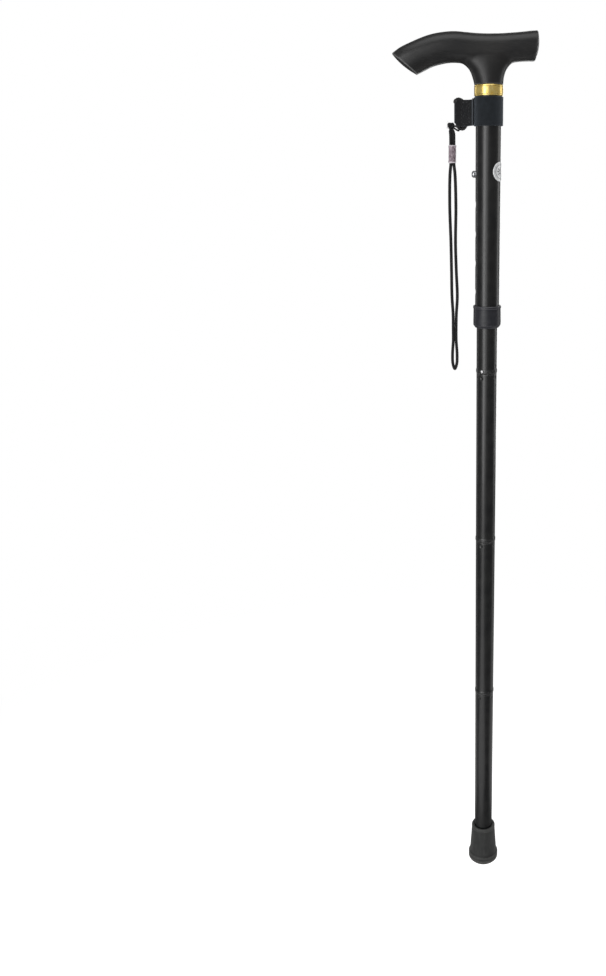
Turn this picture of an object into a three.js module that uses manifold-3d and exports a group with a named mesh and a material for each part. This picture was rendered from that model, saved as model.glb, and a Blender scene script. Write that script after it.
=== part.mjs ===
// Folding walking cane: moulded T handle, two-part telescoping upper leg, three lower leg
// sections that plug together on spigots around an elastic cord, rubber tip, sliding
// webbing strap with a retention cord and a wrist lanyard.
//
// Millimetres, +Z up. The origin is the middle of the rubber tip's underside. The nose of
// the handle points along -X (left), the short arm along +X (right), and -Y is the front.
import * as THREE from 'three';
import { mergeVertices } from 'three/addons/utils/BufferGeometryUtils.js';
import Module from 'manifold-3d';

const wasm = await Module();
wasm.setup();

// ---------------------------------------------------------------- driving dimensions
// The leg stands assembled at its shortest setting. outer and bore are radii;
// bottom and top are heights.
const GAP = 0.3; // running gap between neighbours
const HANDLE_TOP = 850;
const JOINT_Z = [561, 391, 217]; // mouths of the three fold joints, top to bottom

const UPPER = { outer: 11, bore: 9.75, bottom: 606, top: 808.2 };
const LEG = { outer: 9.5, bore: 8.3 }; // telescoping tube and lower sections
const INNER_TUBE_TOP = 755;
const RIM = { outer: 9.95, length: 3.2 }; // rolled rim at each mouth
const MOUTH = { bore: 8.65, depth: 5 }; // opened bore at each mouth
const SPIGOT = { outer: 8, bore: 6.8, nose: 3.5, tail: 52 }; // nose above, tail below the mouth

const PIN = { radius: 1.5, length: 21.4, z: 804 }; // handle retaining pin
const NECK_RING = { outer: 12.4, bottom: 799.7, top: 808.3 };
const COLLAR = { outer: 12.8, bore: LEG.outer + 0.25, bottom: 603.6, top: 623.6 };
const BUTTON = { radius: 2.9, z: 737, proud: 3.4 }; // proud: beyond the upper tube
const HOLES = { radius: 3.3, count: 5, pitch: 25.4 }; // height setting holes
const LABEL = { radius: 9.8, z: 739, turn: THREE.MathUtils.degToRad(-16) };

const STRAP = { outer: 12.6, bore: 11.35, bottom: 776, top: 799 };
// The tab runs out from the leg between two radii, turned from -X towards the back.
const TAB = { inner: 12.9, outer: 31.2, thickness: 3.6, turn: THREE.MathUtils.degToRad(38) };

const TIP = { height: 45.5, floor: 7 };
const WASHER_BOTTOM = TIP.floor + GAP;
const WASHER_TOP = WASHER_BOTTOM + 1;

// ---------------------------------------------------------------- geometry helpers
// Position only, shared vertices, no collapsed triangles, faces pointing out.
function tidy(geometry) {
  const bare = geometry.clone();
  for (const name of Object.keys(bare.attributes)) {
    if (name !== 'position') bare.deleteAttribute(name);
  }
  const merged = mergeVertices(bare, 1e-4);
  const { position } = merged.attributes;
  const source = merged.index.array;
  const corners = [new THREE.Vector3(), new THREE.Vector3(), new THREE.Vector3()];
  const kept = [];
  let volume = 0;
  for (let i = 0; i < source.length; i += 3) {
    const [a, b, c] = [source[i], source[i + 1], source[i + 2]];
    if (a === b || b === c || a === c) continue;
    kept.push(a, b, c);
    const [p, q, r] = corners;
    p.fromBufferAttribute(position, a);
    q.fromBufferAttribute(position, b);
    r.fromBufferAttribute(position, c);
    volume += p.dot(q.cross(r));
  }
  if (volume < 0) {
    for (let i = 0; i < kept.length; i += 3) {
      [kept[i + 1], kept[i + 2]] = [kept[i + 2], kept[i + 1]];
    }
  }
  merged.setIndex(kept);
  return merged;
}

function indexed(positions, indices) {
  const geometry = new THREE.BufferGeometry();
  geometry.setAttribute('position', new THREE.Float32BufferAttribute(positions, 3));
  geometry.setIndex(indices);
  return tidy(geometry);
}

function toSolid(geometry) {
  const clean = tidy(geometry);
  return new wasm.Manifold(new wasm.Mesh({
    numProp: 3,
    vertProperties: new Float32Array(clean.attributes.position.array),
    triVerts: new Uint32Array(clean.index.array),
  }));
}

function fromSolid(solid) {
  const mesh = solid.getMesh();
  return indexed(mesh.vertProperties, Array.from(mesh.triVerts));
}

const cut = (base, ...tools) =>
  fromSolid(tools.reduce((solid, tool) => solid.subtract(toSolid(tool)), toSolid(base)));
const join = (base, ...others) =>
  fromSolid(others.reduce((solid, other) => solid.add(toSolid(other)), toSolid(base)));

// Turned solid about Z from [radius, z] points; a profile off the axis is closed.
function turned(profile, segments = 32) {
  const points = profile.map(([radius, z]) => new THREE.Vector2(radius, z));
  const onAxis = points[0].x === 0 && points.at(-1).x === 0;
  if (!onAxis) points.push(points[0].clone());
  const geometry = new THREE.LatheGeometry(points, segments);
  geometry.rotateX(Math.PI / 2);
  return tidy(geometry);
}

const tube = (bore, outer, bottom, top) =>
  turned([[bore, bottom], [outer, bottom], [outer, top], [bore, top]]);
const disc = (radius, bottom, top, segments) =>
  turned([[0, bottom], [radius, bottom], [radius, top], [0, top]], segments);

// Round bar along X or Y, for the pin and for cutting holes.
function bar(radius, length, axis, centre) {
  const geometry = new THREE.CylinderGeometry(radius, radius, length, 12);
  if (axis === 'x') geometry.rotateZ(Math.PI / 2);
  geometry.translate(...centre);
  return tidy(geometry);
}

function closedShape(points) {
  const shape = new THREE.Shape(points.map(([x, y]) => new THREE.Vector2(x, y)));
  shape.closePath();
  return shape;
}

// Eight-sided cord along a smooth curve through [x, y, z] points.
function cord(points, radius, steps) {
  const vectors = points.map((point) => new THREE.Vector3(...point));
  const extrudePath = new THREE.CatmullRomCurve3(vectors, false, 'centripetal');
  const section = Array.from({ length: 8 }, (_, i) => {
    const angle = (i + 0.5) / 8 * 2 * Math.PI;
    return [radius * Math.cos(angle), radius * Math.sin(angle)];
  });
  const options = { steps, extrudePath, bevelEnabled: false };
  return tidy(new THREE.ExtrudeGeometry(closedShape(section), options));
}

// Two triangles, split from a to c.
const quad = (a, b, c, d) => [a, b, c, a, c, d];

// Closed skin over a list of equal rings of points, capped at both ends.
function skin(rings) {
  const count = rings[0].length;
  const last = (rings.length - 1) * count;
  const indices = [];
  for (let start = 0; start < last; start += count) {
    for (let j = 0; j < count; j++) {
      const here = start + j;
      const next = start + (j + 1) % count;
      indices.push(...quad(here, next, next + count, here + count));
    }
  }
  for (let j = 1; j + 1 < count; j++) {
    indices.push(0, j + 1, j);
    indices.push(last, last + j, last + j + 1);
  }
  return indexed(rings.flat(2), indices);
}

// Ring of 24 points for skin(); pointAt takes the cosine and sine of each angle.
function ringPoints(pointAt) {
  return Array.from({ length: 24 }, (_, i) => {
    const angle = i / 24 * 2 * Math.PI;
    return pointAt(Math.cos(angle), Math.sin(angle));
  });
}

// ---------------------------------------------------------------- materials
const standard = (settings) => new THREE.MeshStandardMaterial(settings);
const MATERIAL = {
  handle: standard({ color: 0x232427, roughness: 0.42, metalness: 0 }),
  gold: standard({ color: 0xd9b24a, roughness: 0.22, metalness: 1 }),
  paint: standard({ color: 0x0d0e10, roughness: 0.25, metalness: 0.35 }),
  spigot: standard({ color: 0x1a1b1d, roughness: 0.3, metalness: 0.6 }),
  rubber: standard({ color: 0x2b2d2e, roughness: 0.85, metalness: 0 }),
  strap: standard({ color: 0x14181c, roughness: 0.9, metalness: 0 }),
  cord: standard({ color: 0x0b0b0d, roughness: 0.85, metalness: 0 }),
  ferrule: standard({ color: 0x8a7a82, roughness: 0.2, metalness: 0 }),
  steel: standard({ color: 0xb9bcc0, roughness: 0.3, metalness: 1 }),
  collar: standard({ color: 0x1b1c20, roughness: 0.5, metalness: 0 }),
  nylon: standard({ color: 0x2a2b2d, roughness: 0.6, metalness: 0 }),
  label: standard({ color: 0xc9ccce, roughness: 0.35, metalness: 0.6 }),
};

// ---------------------------------------------------------------- handle
// Grip stations from the slanted nose cut to the flat end of the short arm:
// top edge x, z, bottom edge x, z, half depth in Y.
const GRIP = [
  [-81.88, 832.8, -60.84, 816.6, 11.2], [-74.66, 837.6, -54.24, 819.6, 11.9],
  [-66.48, 841.2, -47.66, 822.6, 12.4], [-57.53, 844.7, -41.12, 824.4, 12.8],
  [-48.63, 847.4, -35.43, 825.4, 13.0], [-38.98, 849.0, -30.56, 825.8, 13.1],
  [-29.37, 849.6, -25.5, 825.6, 13.0], [-19.78, 848.9, -19.2, 825.0, 12.8],
  [-10.17, 848.1, -10.3, 824.6, 12.6], [-0.56, 847.8, -0.57, 824.5, 12.5],
  [9.05, 847.9, 9.16, 824.8, 12.4], [18.66, 848.4, 18.48, 825.4, 12.2],
  [28.26, 849.1, 27.39, 826.3, 12.1], [35.45, 849.8, 33.87, 826.5, 12.0],
  [41.04, HANDLE_TOP, 38.97, 826.5, 11.9],
];
const GRIP_SQUARENESS = 2.25; // superellipse exponent; 2 is a plain ellipse

// Neck stations from inside the grip down to the ring: left x, right x, z, half depth in Y.
const NECK = [
  [-24, 21.5, 828.5, 12.2], [-21.4, 18.9, 824.6, 12.4], [-18.6, 16.7, 822.3, 12.3],
  [-16.4, 14.9, 820.0, 12.25], [-14.9, 13.6, 817.0, 12.2], [-13.4, 12.5, 813.0, 12.2],
  [-12.3, 12.2, 808.6, 12.2],
];
const PLUG = { bottom: 770, top: 815 }; // handle's plug inside the upper tube

function gripRing([topX, topZ, bottomX, bottomZ, halfDepth]) {
  const squared = (value) => Math.sign(value) * Math.abs(value) ** (2 / GRIP_SQUARENESS);
  return ringPoints((cosine, sine) => [
    (topX + bottomX) / 2 + squared(cosine) * (topX - bottomX) / 2,
    squared(sine) * halfDepth,
    (topZ + bottomZ) / 2 + squared(cosine) * (topZ - bottomZ) / 2,
  ]);
}

function neckSection([left, right, z, halfDepth]) {
  return ringPoints((cosine, sine) => [
    (left + right) / 2 + cosine * (right - left) / 2,
    sine * halfDepth,
    z,
  ]);
}

const pinHole = bar(PIN.radius + GAP, 30, 'y', [0, 0, PIN.z]);
const pin = bar(PIN.radius, PIN.length, 'y', [0, 0, PIN.z]);
const handle = cut(
  join(
    skin(GRIP.map(gripRing)),
    skin(NECK.map(neckSection)),
    disc(UPPER.bore - GAP, PLUG.bottom, PLUG.top),
  ),
  pinHole,
);

// ---------------------------------------------------------------- tubes
const HOLE_CUT = 6; // length of the bars that cut the holes in the tubes' left walls

// The button sits in the top hole.
const settingHoles = Array.from({ length: HOLES.count }, (_, i) =>
  bar(HOLES.radius, HOLE_CUT, 'x', [-UPPER.outer, 0, BUTTON.z - i * HOLES.pitch]));
const upperTube = cut(
  tube(UPPER.bore, UPPER.outer, UPPER.bottom, UPPER.top),
  pinHole,
  ...settingHoles,
);

// Leg tube down to its mouth, which has a rolled rim and an opened bore.
function legTube(top, jointZ) {
  const mouth = jointZ + GAP / 2;
  return turned([
    [LEG.bore, top],
    [LEG.outer, top],
    [LEG.outer, mouth + RIM.length + 0.9],
    [RIM.outer, mouth + RIM.length],
    [RIM.outer, mouth + 0.4],
    [RIM.outer - 0.4, mouth],
    [MOUTH.bore, mouth],
    [MOUTH.bore, mouth + MOUTH.depth],
    [LEG.bore, mouth + MOUTH.depth + 1],
  ]);
}

const innerTube = cut(
  legTube(INNER_TUBE_TOP, JOINT_Z[0]),
  bar(BUTTON.radius + GAP, HOLE_CUT, 'x', [-LEG.outer, 0, BUTTON.z]),
);
// Leg sections 2, 3 and 4.
const lowerTubes = [
  legTube(JOINT_Z[0] - GAP / 2, JOINT_Z[1]),
  legTube(JOINT_Z[1] - GAP / 2, JOINT_Z[2]),
  tube(LEG.bore, LEG.outer, WASHER_TOP + GAP, JOINT_Z[2] - GAP / 2),
];

// Spigot sleeve with a chamfered nose.
const spigot = (jointZ) => turned([
  [SPIGOT.bore, jointZ - SPIGOT.tail],
  [SPIGOT.outer, jointZ - SPIGOT.tail],
  [SPIGOT.outer, jointZ + SPIGOT.nose - 1.4],
  [SPIGOT.outer - 0.7, jointZ + SPIGOT.nose],
  [SPIGOT.bore, jointZ + SPIGOT.nose],
]);

// Rivet at the mouth of the telescoping tube, on the front left.
function mouthRivet() {
  const height = 0.8;
  const clearance = 0.15; // between the rivet and the rim
  const turnFromFront = THREE.MathUtils.degToRad(30);
  const geometry = new THREE.CylinderGeometry(1.6, 1.6, height, 12);
  geometry.translate(0, RIM.outer + clearance + height / 2, 0);
  geometry.rotateZ(Math.PI - turnFromFront);
  geometry.translate(0, 0, JOINT_Z[0] + 2.4);
  return tidy(geometry);
}

// ---------------------------------------------------------------- elastic cord
const SHOCK_CORD_RADIUS = 2.2;
const CORD_X = [-4, 4, -4]; // the cord crosses to the other side from joint to joint
const BEND_HALF = 12; // half length of the cord piece at each joint
const TOP_ANCHOR_Z = 700;
const TIP_ANCHOR_Z = 30;
const CORD_IN_ANCHOR = 1; // how far the cord's ends run into the anchors' z range
const anchorFaces = { top: TOP_ANCHOR_Z - CORD_IN_ANCHOR, tip: TIP_ANCHOR_Z + CORD_IN_ANCHOR };

function straightCord(topZ, topX, bottomZ, bottomX) {
  const middle = [(topX + bottomX) / 2, 0, (topZ + bottomZ) / 2];
  return cord([[topX, 0, topZ], middle, [bottomX, 0, bottomZ]], SHOCK_CORD_RADIUS, 6);
}

const runTops = [anchorFaces.top, ...JOINT_Z.map((z) => z - BEND_HALF - GAP)];
const runBottoms = [...JOINT_Z.map((z) => z + BEND_HALF + GAP), anchorFaces.tip];
// The first and last runs are parallel to the axis.
const shockCords = runTops.map((topZ, i) => straightCord(
  topZ, CORD_X[Math.max(i - 1, 0)],
  runBottoms[i], CORD_X[Math.min(i, CORD_X.length - 1)],
));
const cordBends = JOINT_Z.map((z, i) =>
  straightCord(z + BEND_HALF, CORD_X[i], z - BEND_HALF, CORD_X[i]));

// Turned plug, flat towards the cord and dished on the far side; away is +1 up, -1 down.
const cordAnchor = (faceZ, away) => turned([
  [0, 0], [7.9, 0], [7.9, 9], [6.6, 9], [5.2, 4], [0, 4],
].map(([radius, depth]) => [radius, faceZ + away * depth]), 24);

// ---------------------------------------------------------------- button and its spring
// Button pointing left, with a rounded outer end.
function snapButton() {
  const innerX = -LEG.bore + 1.6;
  const length = innerX + UPPER.outer + BUTTON.proud;
  const profile = [
    [0, 0], [BUTTON.radius, 0], [BUTTON.radius, length - 1.2],
    [BUTTON.radius - 0.45, length - 0.45], [BUTTON.radius - 1.3, length], [0, length],
  ].map(([radius, y]) => new THREE.Vector2(radius, y));
  const geometry = new THREE.LatheGeometry(profile, 16);
  geometry.rotateZ(Math.PI / 2);
  geometry.translate(innerX, 0, BUTTON.z);
  return tidy(geometry);
}

// Bent leaf spring, a V open at the top, lying in the XZ plane.
function snapSpring() {
  const thickness = 0.7;
  const width = 7;
  const left = -LEG.bore + 2.2;
  const right = LEG.bore - 1.2;
  const bottom = BUTTON.z - 22;
  const top = BUTTON.z + 7;
  const outline = closedShape([
    [left, top],
    [left + thickness, top],
    [left + thickness + 0.4, bottom + 5],
    [-1.2, bottom + thickness],
    [1.2, bottom + thickness],
    [right - thickness - 0.4, bottom + 5],
    [right - thickness, top],
    [right, top],
    [right - 0.2, bottom + 4.4],
    [1.8, bottom],
    [-1.8, bottom],
    [left + 0.2, bottom + 4.4],
  ]);
  const geometry = new THREE.ExtrudeGeometry(outline, { depth: width, bevelEnabled: false });
  geometry.rotateX(Math.PI / 2);
  geometry.translate(0, width / 2, 0);
  return tidy(geometry);
}

// ---------------------------------------------------------------- strap and retention cord
const strapSleeve = turned([
  [STRAP.bore, STRAP.bottom],
  [STRAP.outer - 0.4, STRAP.bottom],
  [STRAP.outer, STRAP.bottom + 0.8],
  [STRAP.outer, STRAP.top - 0.8],
  [STRAP.outer - 0.4, STRAP.top],
  [STRAP.bore, STRAP.top],
]);

function strapTab() {
  const height = STRAP.top - STRAP.bottom - 1.6;
  const geometry = new THREE.BoxGeometry(TAB.outer - TAB.inner, TAB.thickness, height);
  geometry.translate(-(TAB.inner + TAB.outer) / 2, 0, (STRAP.bottom + STRAP.top) / 2);
  geometry.rotateZ(-TAB.turn);
  return tidy(geometry);
}

// Slack loop round the tab's outer edge, from its back face to its front face:
// distance out from the leg's axis, z, offset from the tab's mid plane (+ to the back).
const RETENTION_PATH = [
  [28.0, 795.0, 3.9], [31.5, 800.5, 3.2], [34.2, 799.0, 0], [33.6, 793.0, 0.3],
  [33.3, 787.5, 0], [33.6, 782.0, -0.3], [34.0, 776.0, 0], [31.2, 773.2, -3.2],
  [27.6, 776.6, -3.9], [25.6, 783.0, -3.9],
];
const RETENTION_RADIUS = 1.7;
const retentionCord = cord(RETENTION_PATH.map(([reach, z, offset]) => [
  -reach * Math.cos(TAB.turn) + offset * Math.sin(TAB.turn),
  reach * Math.sin(TAB.turn) + offset * Math.cos(TAB.turn),
  z,
]), RETENTION_RADIUS, 34);

// ---------------------------------------------------------------- wrist lanyard
// Hangs behind and to the left of the leg.
const LANYARD_Y = 22;
const LANYARD_RADIUS = 1.1;
const FERRULE = { x: -32.5, bore: 2.7, bottom: 753.2, top: 764.2 };
const TAIL_END_Z = FERRULE.top - 4.6;
const LOOP_END_Z = FERRULE.bottom + 5.2;

// Both paths: x, z and, where given, an offset in Y.
const TAIL_PATH = [
  [-31.2, TAIL_END_Z], [-31.2, 768], [-31.3, 771.0], [-32.5, 772.6],
  [-33.7, 771.0], [-33.8, 768], [-33.8, TAIL_END_Z],
];
const LOOP_PATH = [
  [-33.8, LOOP_END_Z], [-33.8, 752], [-34.6, 738.8], [-35.0, 702.5], [-33.8, 664.9],
  [-33.6, 640], [-33.2, 626.1], [-32.0, 613.0, -0.2], [-31.9, 595.1], [-33.0, 581.6],
  [-32.7, 571.5], [-31.1, 567.4], [-29.5, 571.5], [-28.7, 581.6], [-29.4, 595.1],
  [-29.3, 613.0, 0.2], [-27.6, 626.1], [-27.4, 640], [-28.4, 664.9], [-28.6, 702.5],
  [-28.9, 738.8], [-31.1, 752], [-31.2, LOOP_END_Z],
];

function lanyardCord(path, steps) {
  const points = path.map(([x, z, offset = 0]) => [x, LANYARD_Y + offset, z]);
  return cord(points, LANYARD_RADIUS, steps);
}

function lanyardKnot() {
  const geometry = new THREE.SphereGeometry(3.4, 12, 8);
  geometry.scale(1, 0.95, 1.15);
  geometry.translate(-33.6, LANYARD_Y + 1.2, 777.4);
  return tidy(geometry);
}

// Short sleeve with a bead at each end.
function lanyardFerrule() {
  const { x, bore, bottom, top } = FERRULE;
  const geometry = turned([
    [bore, bottom], [3.4, bottom], [3.6, bottom + 1.2], [3.3, bottom + 2.2],
    [3.3, top - 2.2], [3.6, top - 1.2], [3.4, top], [bore, top],
  ], 20);
  return geometry.translate(x, LANYARD_Y, 0);
}

// ---------------------------------------------------------------- ring, collar, label, tip
const neckRing = turned([
  [UPPER.outer + GAP, NECK_RING.bottom],
  [NECK_RING.outer - 0.5, NECK_RING.bottom],
  [NECK_RING.outer, NECK_RING.bottom + 0.6],
  [NECK_RING.outer, NECK_RING.top - 0.6],
  [NECK_RING.outer - 0.5, NECK_RING.top],
  [UPPER.outer + GAP, NECK_RING.top],
], 40);

// Sleeve over the upper tube's end with an inward lip below it.
const lockCollar = turned([
  [COLLAR.bore, COLLAR.bottom],
  [COLLAR.outer - 2, COLLAR.bottom],
  [COLLAR.outer, COLLAR.bottom + 2.6],
  [COLLAR.outer, COLLAR.top - 0.7],
  [COLLAR.outer - 0.7, COLLAR.top],
  [UPPER.outer + GAP, COLLAR.top],
  [UPPER.outer + GAP, UPPER.bottom - GAP],
  [COLLAR.bore, UPPER.bottom - GAP],
]);

// Thin round plate wrapped on the upper tube's right side, turned a little to the front.
function roundLabel() {
  const sides = 24;
  const rings = 4;
  const faceSize = 1 + rings * sides; // nodes on one face, the centre first
  const positions = [];
  const indices = [];
  const node = (ring, j) => 1 + (ring - 1) * sides + j % sides;
  const addNode = (ring, j, radius) => {
    const reach = LABEL.radius * ring / rings;
    const angle = j / sides * 2 * Math.PI;
    const turn = LABEL.turn + reach * Math.cos(angle) / UPPER.outer;
    const z = LABEL.z + reach * Math.sin(angle);
    positions.push(radius * Math.cos(turn), radius * Math.sin(turn), z);
  };
  // The same triangle on the outer face and, reversed, on the inner face.
  const addPair = (a, b, c) => {
    indices.push(a, b, c, faceSize + a, faceSize + c, faceSize + b);
  };

  for (const radius of [UPPER.outer + 0.45, UPPER.outer + 0.15]) {
    addNode(0, 0, radius);
    for (let ring = 1; ring <= rings; ring++) {
      for (let j = 0; j < sides; j++) addNode(ring, j, radius);
    }
  }
  for (let j = 0; j < sides; j++) {
    addPair(0, node(1, j), node(1, j + 1));
    for (let ring = 1; ring < rings; ring++) {
      addPair(node(ring, j), node(ring + 1, j), node(ring + 1, j + 1));
      addPair(node(ring, j), node(ring + 1, j + 1), node(ring, j + 1));
    }
    const edge = node(rings, j);
    const nextEdge = node(rings, j + 1);
    indices.push(...quad(edge, faceSize + edge, faceSize + nextEdge, nextEdge));
  }
  return indexed(positions, indices);
}

const rubberTip = turned([
  [0, 0], [15.2, 0], [16.2, 1.2], [16.3, 8.6], [15.4, 9.6], [14.9, 10.2],
  [13.0, TIP.height - 8], [12.7, TIP.height - 0.8], [12.1, TIP.height],
  [LEG.outer + GAP, TIP.height], [LEG.outer + GAP, TIP.floor], [0, TIP.floor],
], 36);
const tipWasher = disc(LEG.outer - 0.1, WASHER_BOTTOM, WASHER_TOP, 24);

// ---------------------------------------------------------------- scene graph
function group(name, parent) {
  const child = new THREE.Group();
  child.name = `group_${name}`;
  parent.add(child);
  return child;
}

function part(parent, name, geometry, material) {
  const mesh = new THREE.Mesh(geometry, material);
  mesh.name = name;
  parent.add(mesh);
}

// Leg section 2, 3 or 4, with the spigot at its upper end.
function legGroup(number, parent) {
  const leg = group(`leg_${number}`, parent);
  part(leg, `spigot_${number - 1}`, spigot(JOINT_Z[number - 2]), MATERIAL.spigot);
  part(leg, `leg_tube_${number}`, lowerTubes[number - 2], MATERIAL.paint);
  part(leg, `shock_cord_${number}`, shockCords[number - 1], MATERIAL.cord);
  return leg;
}

const cane = new THREE.Group();
cane.name = 'folding_cane';

const head = group('head', cane);
part(head, 'handle', handle, MATERIAL.handle);
part(head, 'handle_pin', pin, MATERIAL.steel);
part(head, 'neck_ring', neckRing, MATERIAL.gold);
part(head, 'upper_tube', upperTube, MATERIAL.paint);
part(head, 'round_label', roundLabel(), MATERIAL.label);
part(head, 'lock_collar', lockCollar, MATERIAL.collar);

const strap = group('strap', head);
part(strap, 'strap_sleeve', strapSleeve, MATERIAL.strap);
part(strap, 'strap_tab', strapTab(), MATERIAL.strap);
part(strap, 'retention_cord', retentionCord, MATERIAL.cord);
part(strap, 'lanyard_knot', lanyardKnot(), MATERIAL.cord);
part(strap, 'lanyard_tail', lanyardCord(TAIL_PATH, 22), MATERIAL.cord);
part(strap, 'lanyard_ferrule', lanyardFerrule(), MATERIAL.ferrule);
part(strap, 'lanyard_loop', lanyardCord(LOOP_PATH, 96), MATERIAL.cord);

const telescope = group('telescope', head);
part(telescope, 'inner_tube', innerTube, MATERIAL.paint);
part(telescope, 'snap_spring', snapSpring(), MATERIAL.steel);
part(telescope, 'snap_button', snapButton(), MATERIAL.steel);
part(telescope, 'mouth_rivet', mouthRivet(), MATERIAL.steel);
part(telescope, 'cord_anchor_top', cordAnchor(TOP_ANCHOR_Z, 1), MATERIAL.nylon);
part(telescope, 'shock_cord_1', shockCords[0], MATERIAL.cord);
part(telescope, 'cord_bend_1', cordBends[0], MATERIAL.cord);

const leg2 = legGroup(2, telescope);
part(leg2, 'cord_bend_2', cordBends[1], MATERIAL.cord);

const leg3 = legGroup(3, leg2);
part(leg3, 'cord_bend_3', cordBends[2], MATERIAL.cord);

const leg4 = legGroup(4, leg3);
part(leg4, 'cord_anchor_tip', cordAnchor(TIP_ANCHOR_Z, -1), MATERIAL.nylon);
part(leg4, 'tip_washer', tipWasher, MATERIAL.steel);
part(leg4, 'rubber_tip', rubberTip, MATERIAL.rubber);

export default cane;
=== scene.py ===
"""Folding walking cane. Metres, +Z up, front is -Y.

The leg stands on the Z axis with its foot at z = 0. The grip lies along X on top, its slanted
nose at -X and its rounded end at +X. Strap and lanyard hang at the back left (-X, +Y).
Shapes are given in millimetres and scaled by MM as each mesh is built.
"""
import bpy, bmesh, math
import numpy as np
from mathutils import Vector, Matrix


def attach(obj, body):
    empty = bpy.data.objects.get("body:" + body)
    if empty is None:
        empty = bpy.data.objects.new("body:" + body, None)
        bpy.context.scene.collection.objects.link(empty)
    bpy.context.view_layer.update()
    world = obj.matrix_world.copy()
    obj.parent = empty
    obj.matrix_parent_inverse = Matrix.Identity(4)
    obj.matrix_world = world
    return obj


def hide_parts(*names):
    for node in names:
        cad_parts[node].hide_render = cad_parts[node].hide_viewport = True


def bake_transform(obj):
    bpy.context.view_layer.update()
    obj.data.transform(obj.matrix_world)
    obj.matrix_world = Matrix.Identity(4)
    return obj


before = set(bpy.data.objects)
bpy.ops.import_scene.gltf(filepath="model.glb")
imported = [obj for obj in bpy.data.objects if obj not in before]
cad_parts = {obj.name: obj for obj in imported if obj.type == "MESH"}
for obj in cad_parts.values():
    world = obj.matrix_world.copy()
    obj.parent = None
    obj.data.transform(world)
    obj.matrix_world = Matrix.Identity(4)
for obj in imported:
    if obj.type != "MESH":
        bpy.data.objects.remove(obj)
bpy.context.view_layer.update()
scene = bpy.context.scene
rng = np.random.default_rng(7)

MM = 0.001
JOINTS = (561.0, 391.0, 217.0)            # heights where the leg sections meet
JOINT_GAP = 0.15                          # clearance at a joint
BUTTON_Z = 737.0                          # button and topmost setting hole
FERRULE_BOTTOM, FERRULE_TOP = 746.6, 761.6
LANYARD = np.array([1.8, 22.0, 0.0])      # offset applied to the lanyard's tables
KNOT = LANYARD + (-33.6, 1.2, 777.4)
STRAP_TURN = math.radians(38)
TAB_OUT = np.array([-math.cos(STRAP_TURN), math.sin(STRAP_TURN)])     # away from the tube
TAB_SIDE = np.array([math.sin(STRAP_TURN), math.cos(STRAP_TURN)])     # across the tab's faces
FLOOR_Z = -0.1055                         # metres


# ------------------------------------------------------------------ shader nodes
def feed(tree, socket, value):
    """Links a socket to another one, or sets its value."""
    if isinstance(value, bpy.types.NodeSocket):
        tree.links.new(value, socket)
        return
    if socket.type == "RGBA" and len(value) == 3:
        value = (*value, 1)
    socket.default_value = value


def add_node(tree, kind, inputs=None, **settings):
    node = tree.nodes.new(kind)
    for key, value in settings.items():
        setattr(node, key, value)
    for key, value in (inputs or {}).items():
        feed(tree, node.inputs[key], value)
    return node


class Surface:
    """A Principled material with patterns laid out in object space, in millimetres."""
    INPUTS = {
        "base": "Base Color", "rough": "Roughness", "metal": "Metallic", "coat": "Coat Weight",
        "coat_rough": "Coat Roughness", "spec": "Specular IOR Level", "sheen": "Sheen Weight",
        "sheen_rough": "Sheen Roughness", "sheen_tint": "Sheen Tint",
        "trans": "Transmission Weight", "normal": "Normal"}

    def __init__(self, name):
        self.material = bpy.data.materials.new(name)
        self.material.use_nodes = True
        self.tree = self.material.node_tree
        coords = self.node("ShaderNodeTexCoord").outputs["Object"]
        self.point = self.mapped(coords, (1 / MM,) * 3)

    def node(self, kind, inputs=None, **settings):
        return add_node(self.tree, kind, inputs, **settings)

    def mapped(self, vector, scale):
        return self.node("ShaderNodeMapping", {"Scale": scale, "Vector": vector}).outputs[0]

    def finish(self, **values):
        shader = self.tree.nodes["Principled BSDF"]
        for key, value in values.items():
            feed(self.tree, shader.inputs[self.INPUTS[key]], value)
        return self.material

    def math(self, operation, a, b):
        node = self.node("ShaderNodeMath", {0: a, 1: b, 2: 0.0}, operation=operation)
        return node.outputs[0]

    def add(self, a, b):
        return self.math("ADD", a, b)

    def mul(self, a, b):
        return self.math("MULTIPLY", a, b)

    def noise(self, scale, detail=3.0, rough=0.55, stretch=(1, 1, 1), distort=0.0, vec=None):
        return self.node("ShaderNodeTexNoise", {
            "Scale": scale, "Detail": detail, "Roughness": rough, "Distortion": distort,
            "Vector": self.mapped(vec or self.point, stretch)}).outputs["Fac"]

    def cells(self, scale, stretch):
        return self.node("ShaderNodeTexVoronoi", {
            "Scale": scale, "Vector": self.mapped(self.point, stretch)}).outputs["Distance"]

    def axes(self):
        return self.node("ShaderNodeSeparateXYZ", {0: self.point}).outputs

    def around(self):
        """(angle round Z, 0, height), for lines that run round a turned part."""
        x, y, z = self.axes()
        angle = self.math("ARCTAN2", y, x)
        return self.node("ShaderNodeCombineXYZ", {0: angle, 2: z}).outputs[0]

    def remap(self, value, span, to=(0, 1)):
        inputs = dict(enumerate((value, *span, *to)))
        return self.node("ShaderNodeMapRange", inputs, clamp=True).outputs[0]

    def mix(self, base, over, amount):
        return self.node("ShaderNodeMix", {0: amount, 6: base, 7: over},
                         data_type="RGBA").outputs[2]

    def attr(self, name):
        return self.node("ShaderNodeAttribute", attribute_name=name).outputs["Fac"]

    def bump(self, height, depth, strength):
        return self.node("ShaderNodeBump", {
            "Strength": strength, "Distance": depth * MM, "Height": height}).outputs[0]


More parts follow.
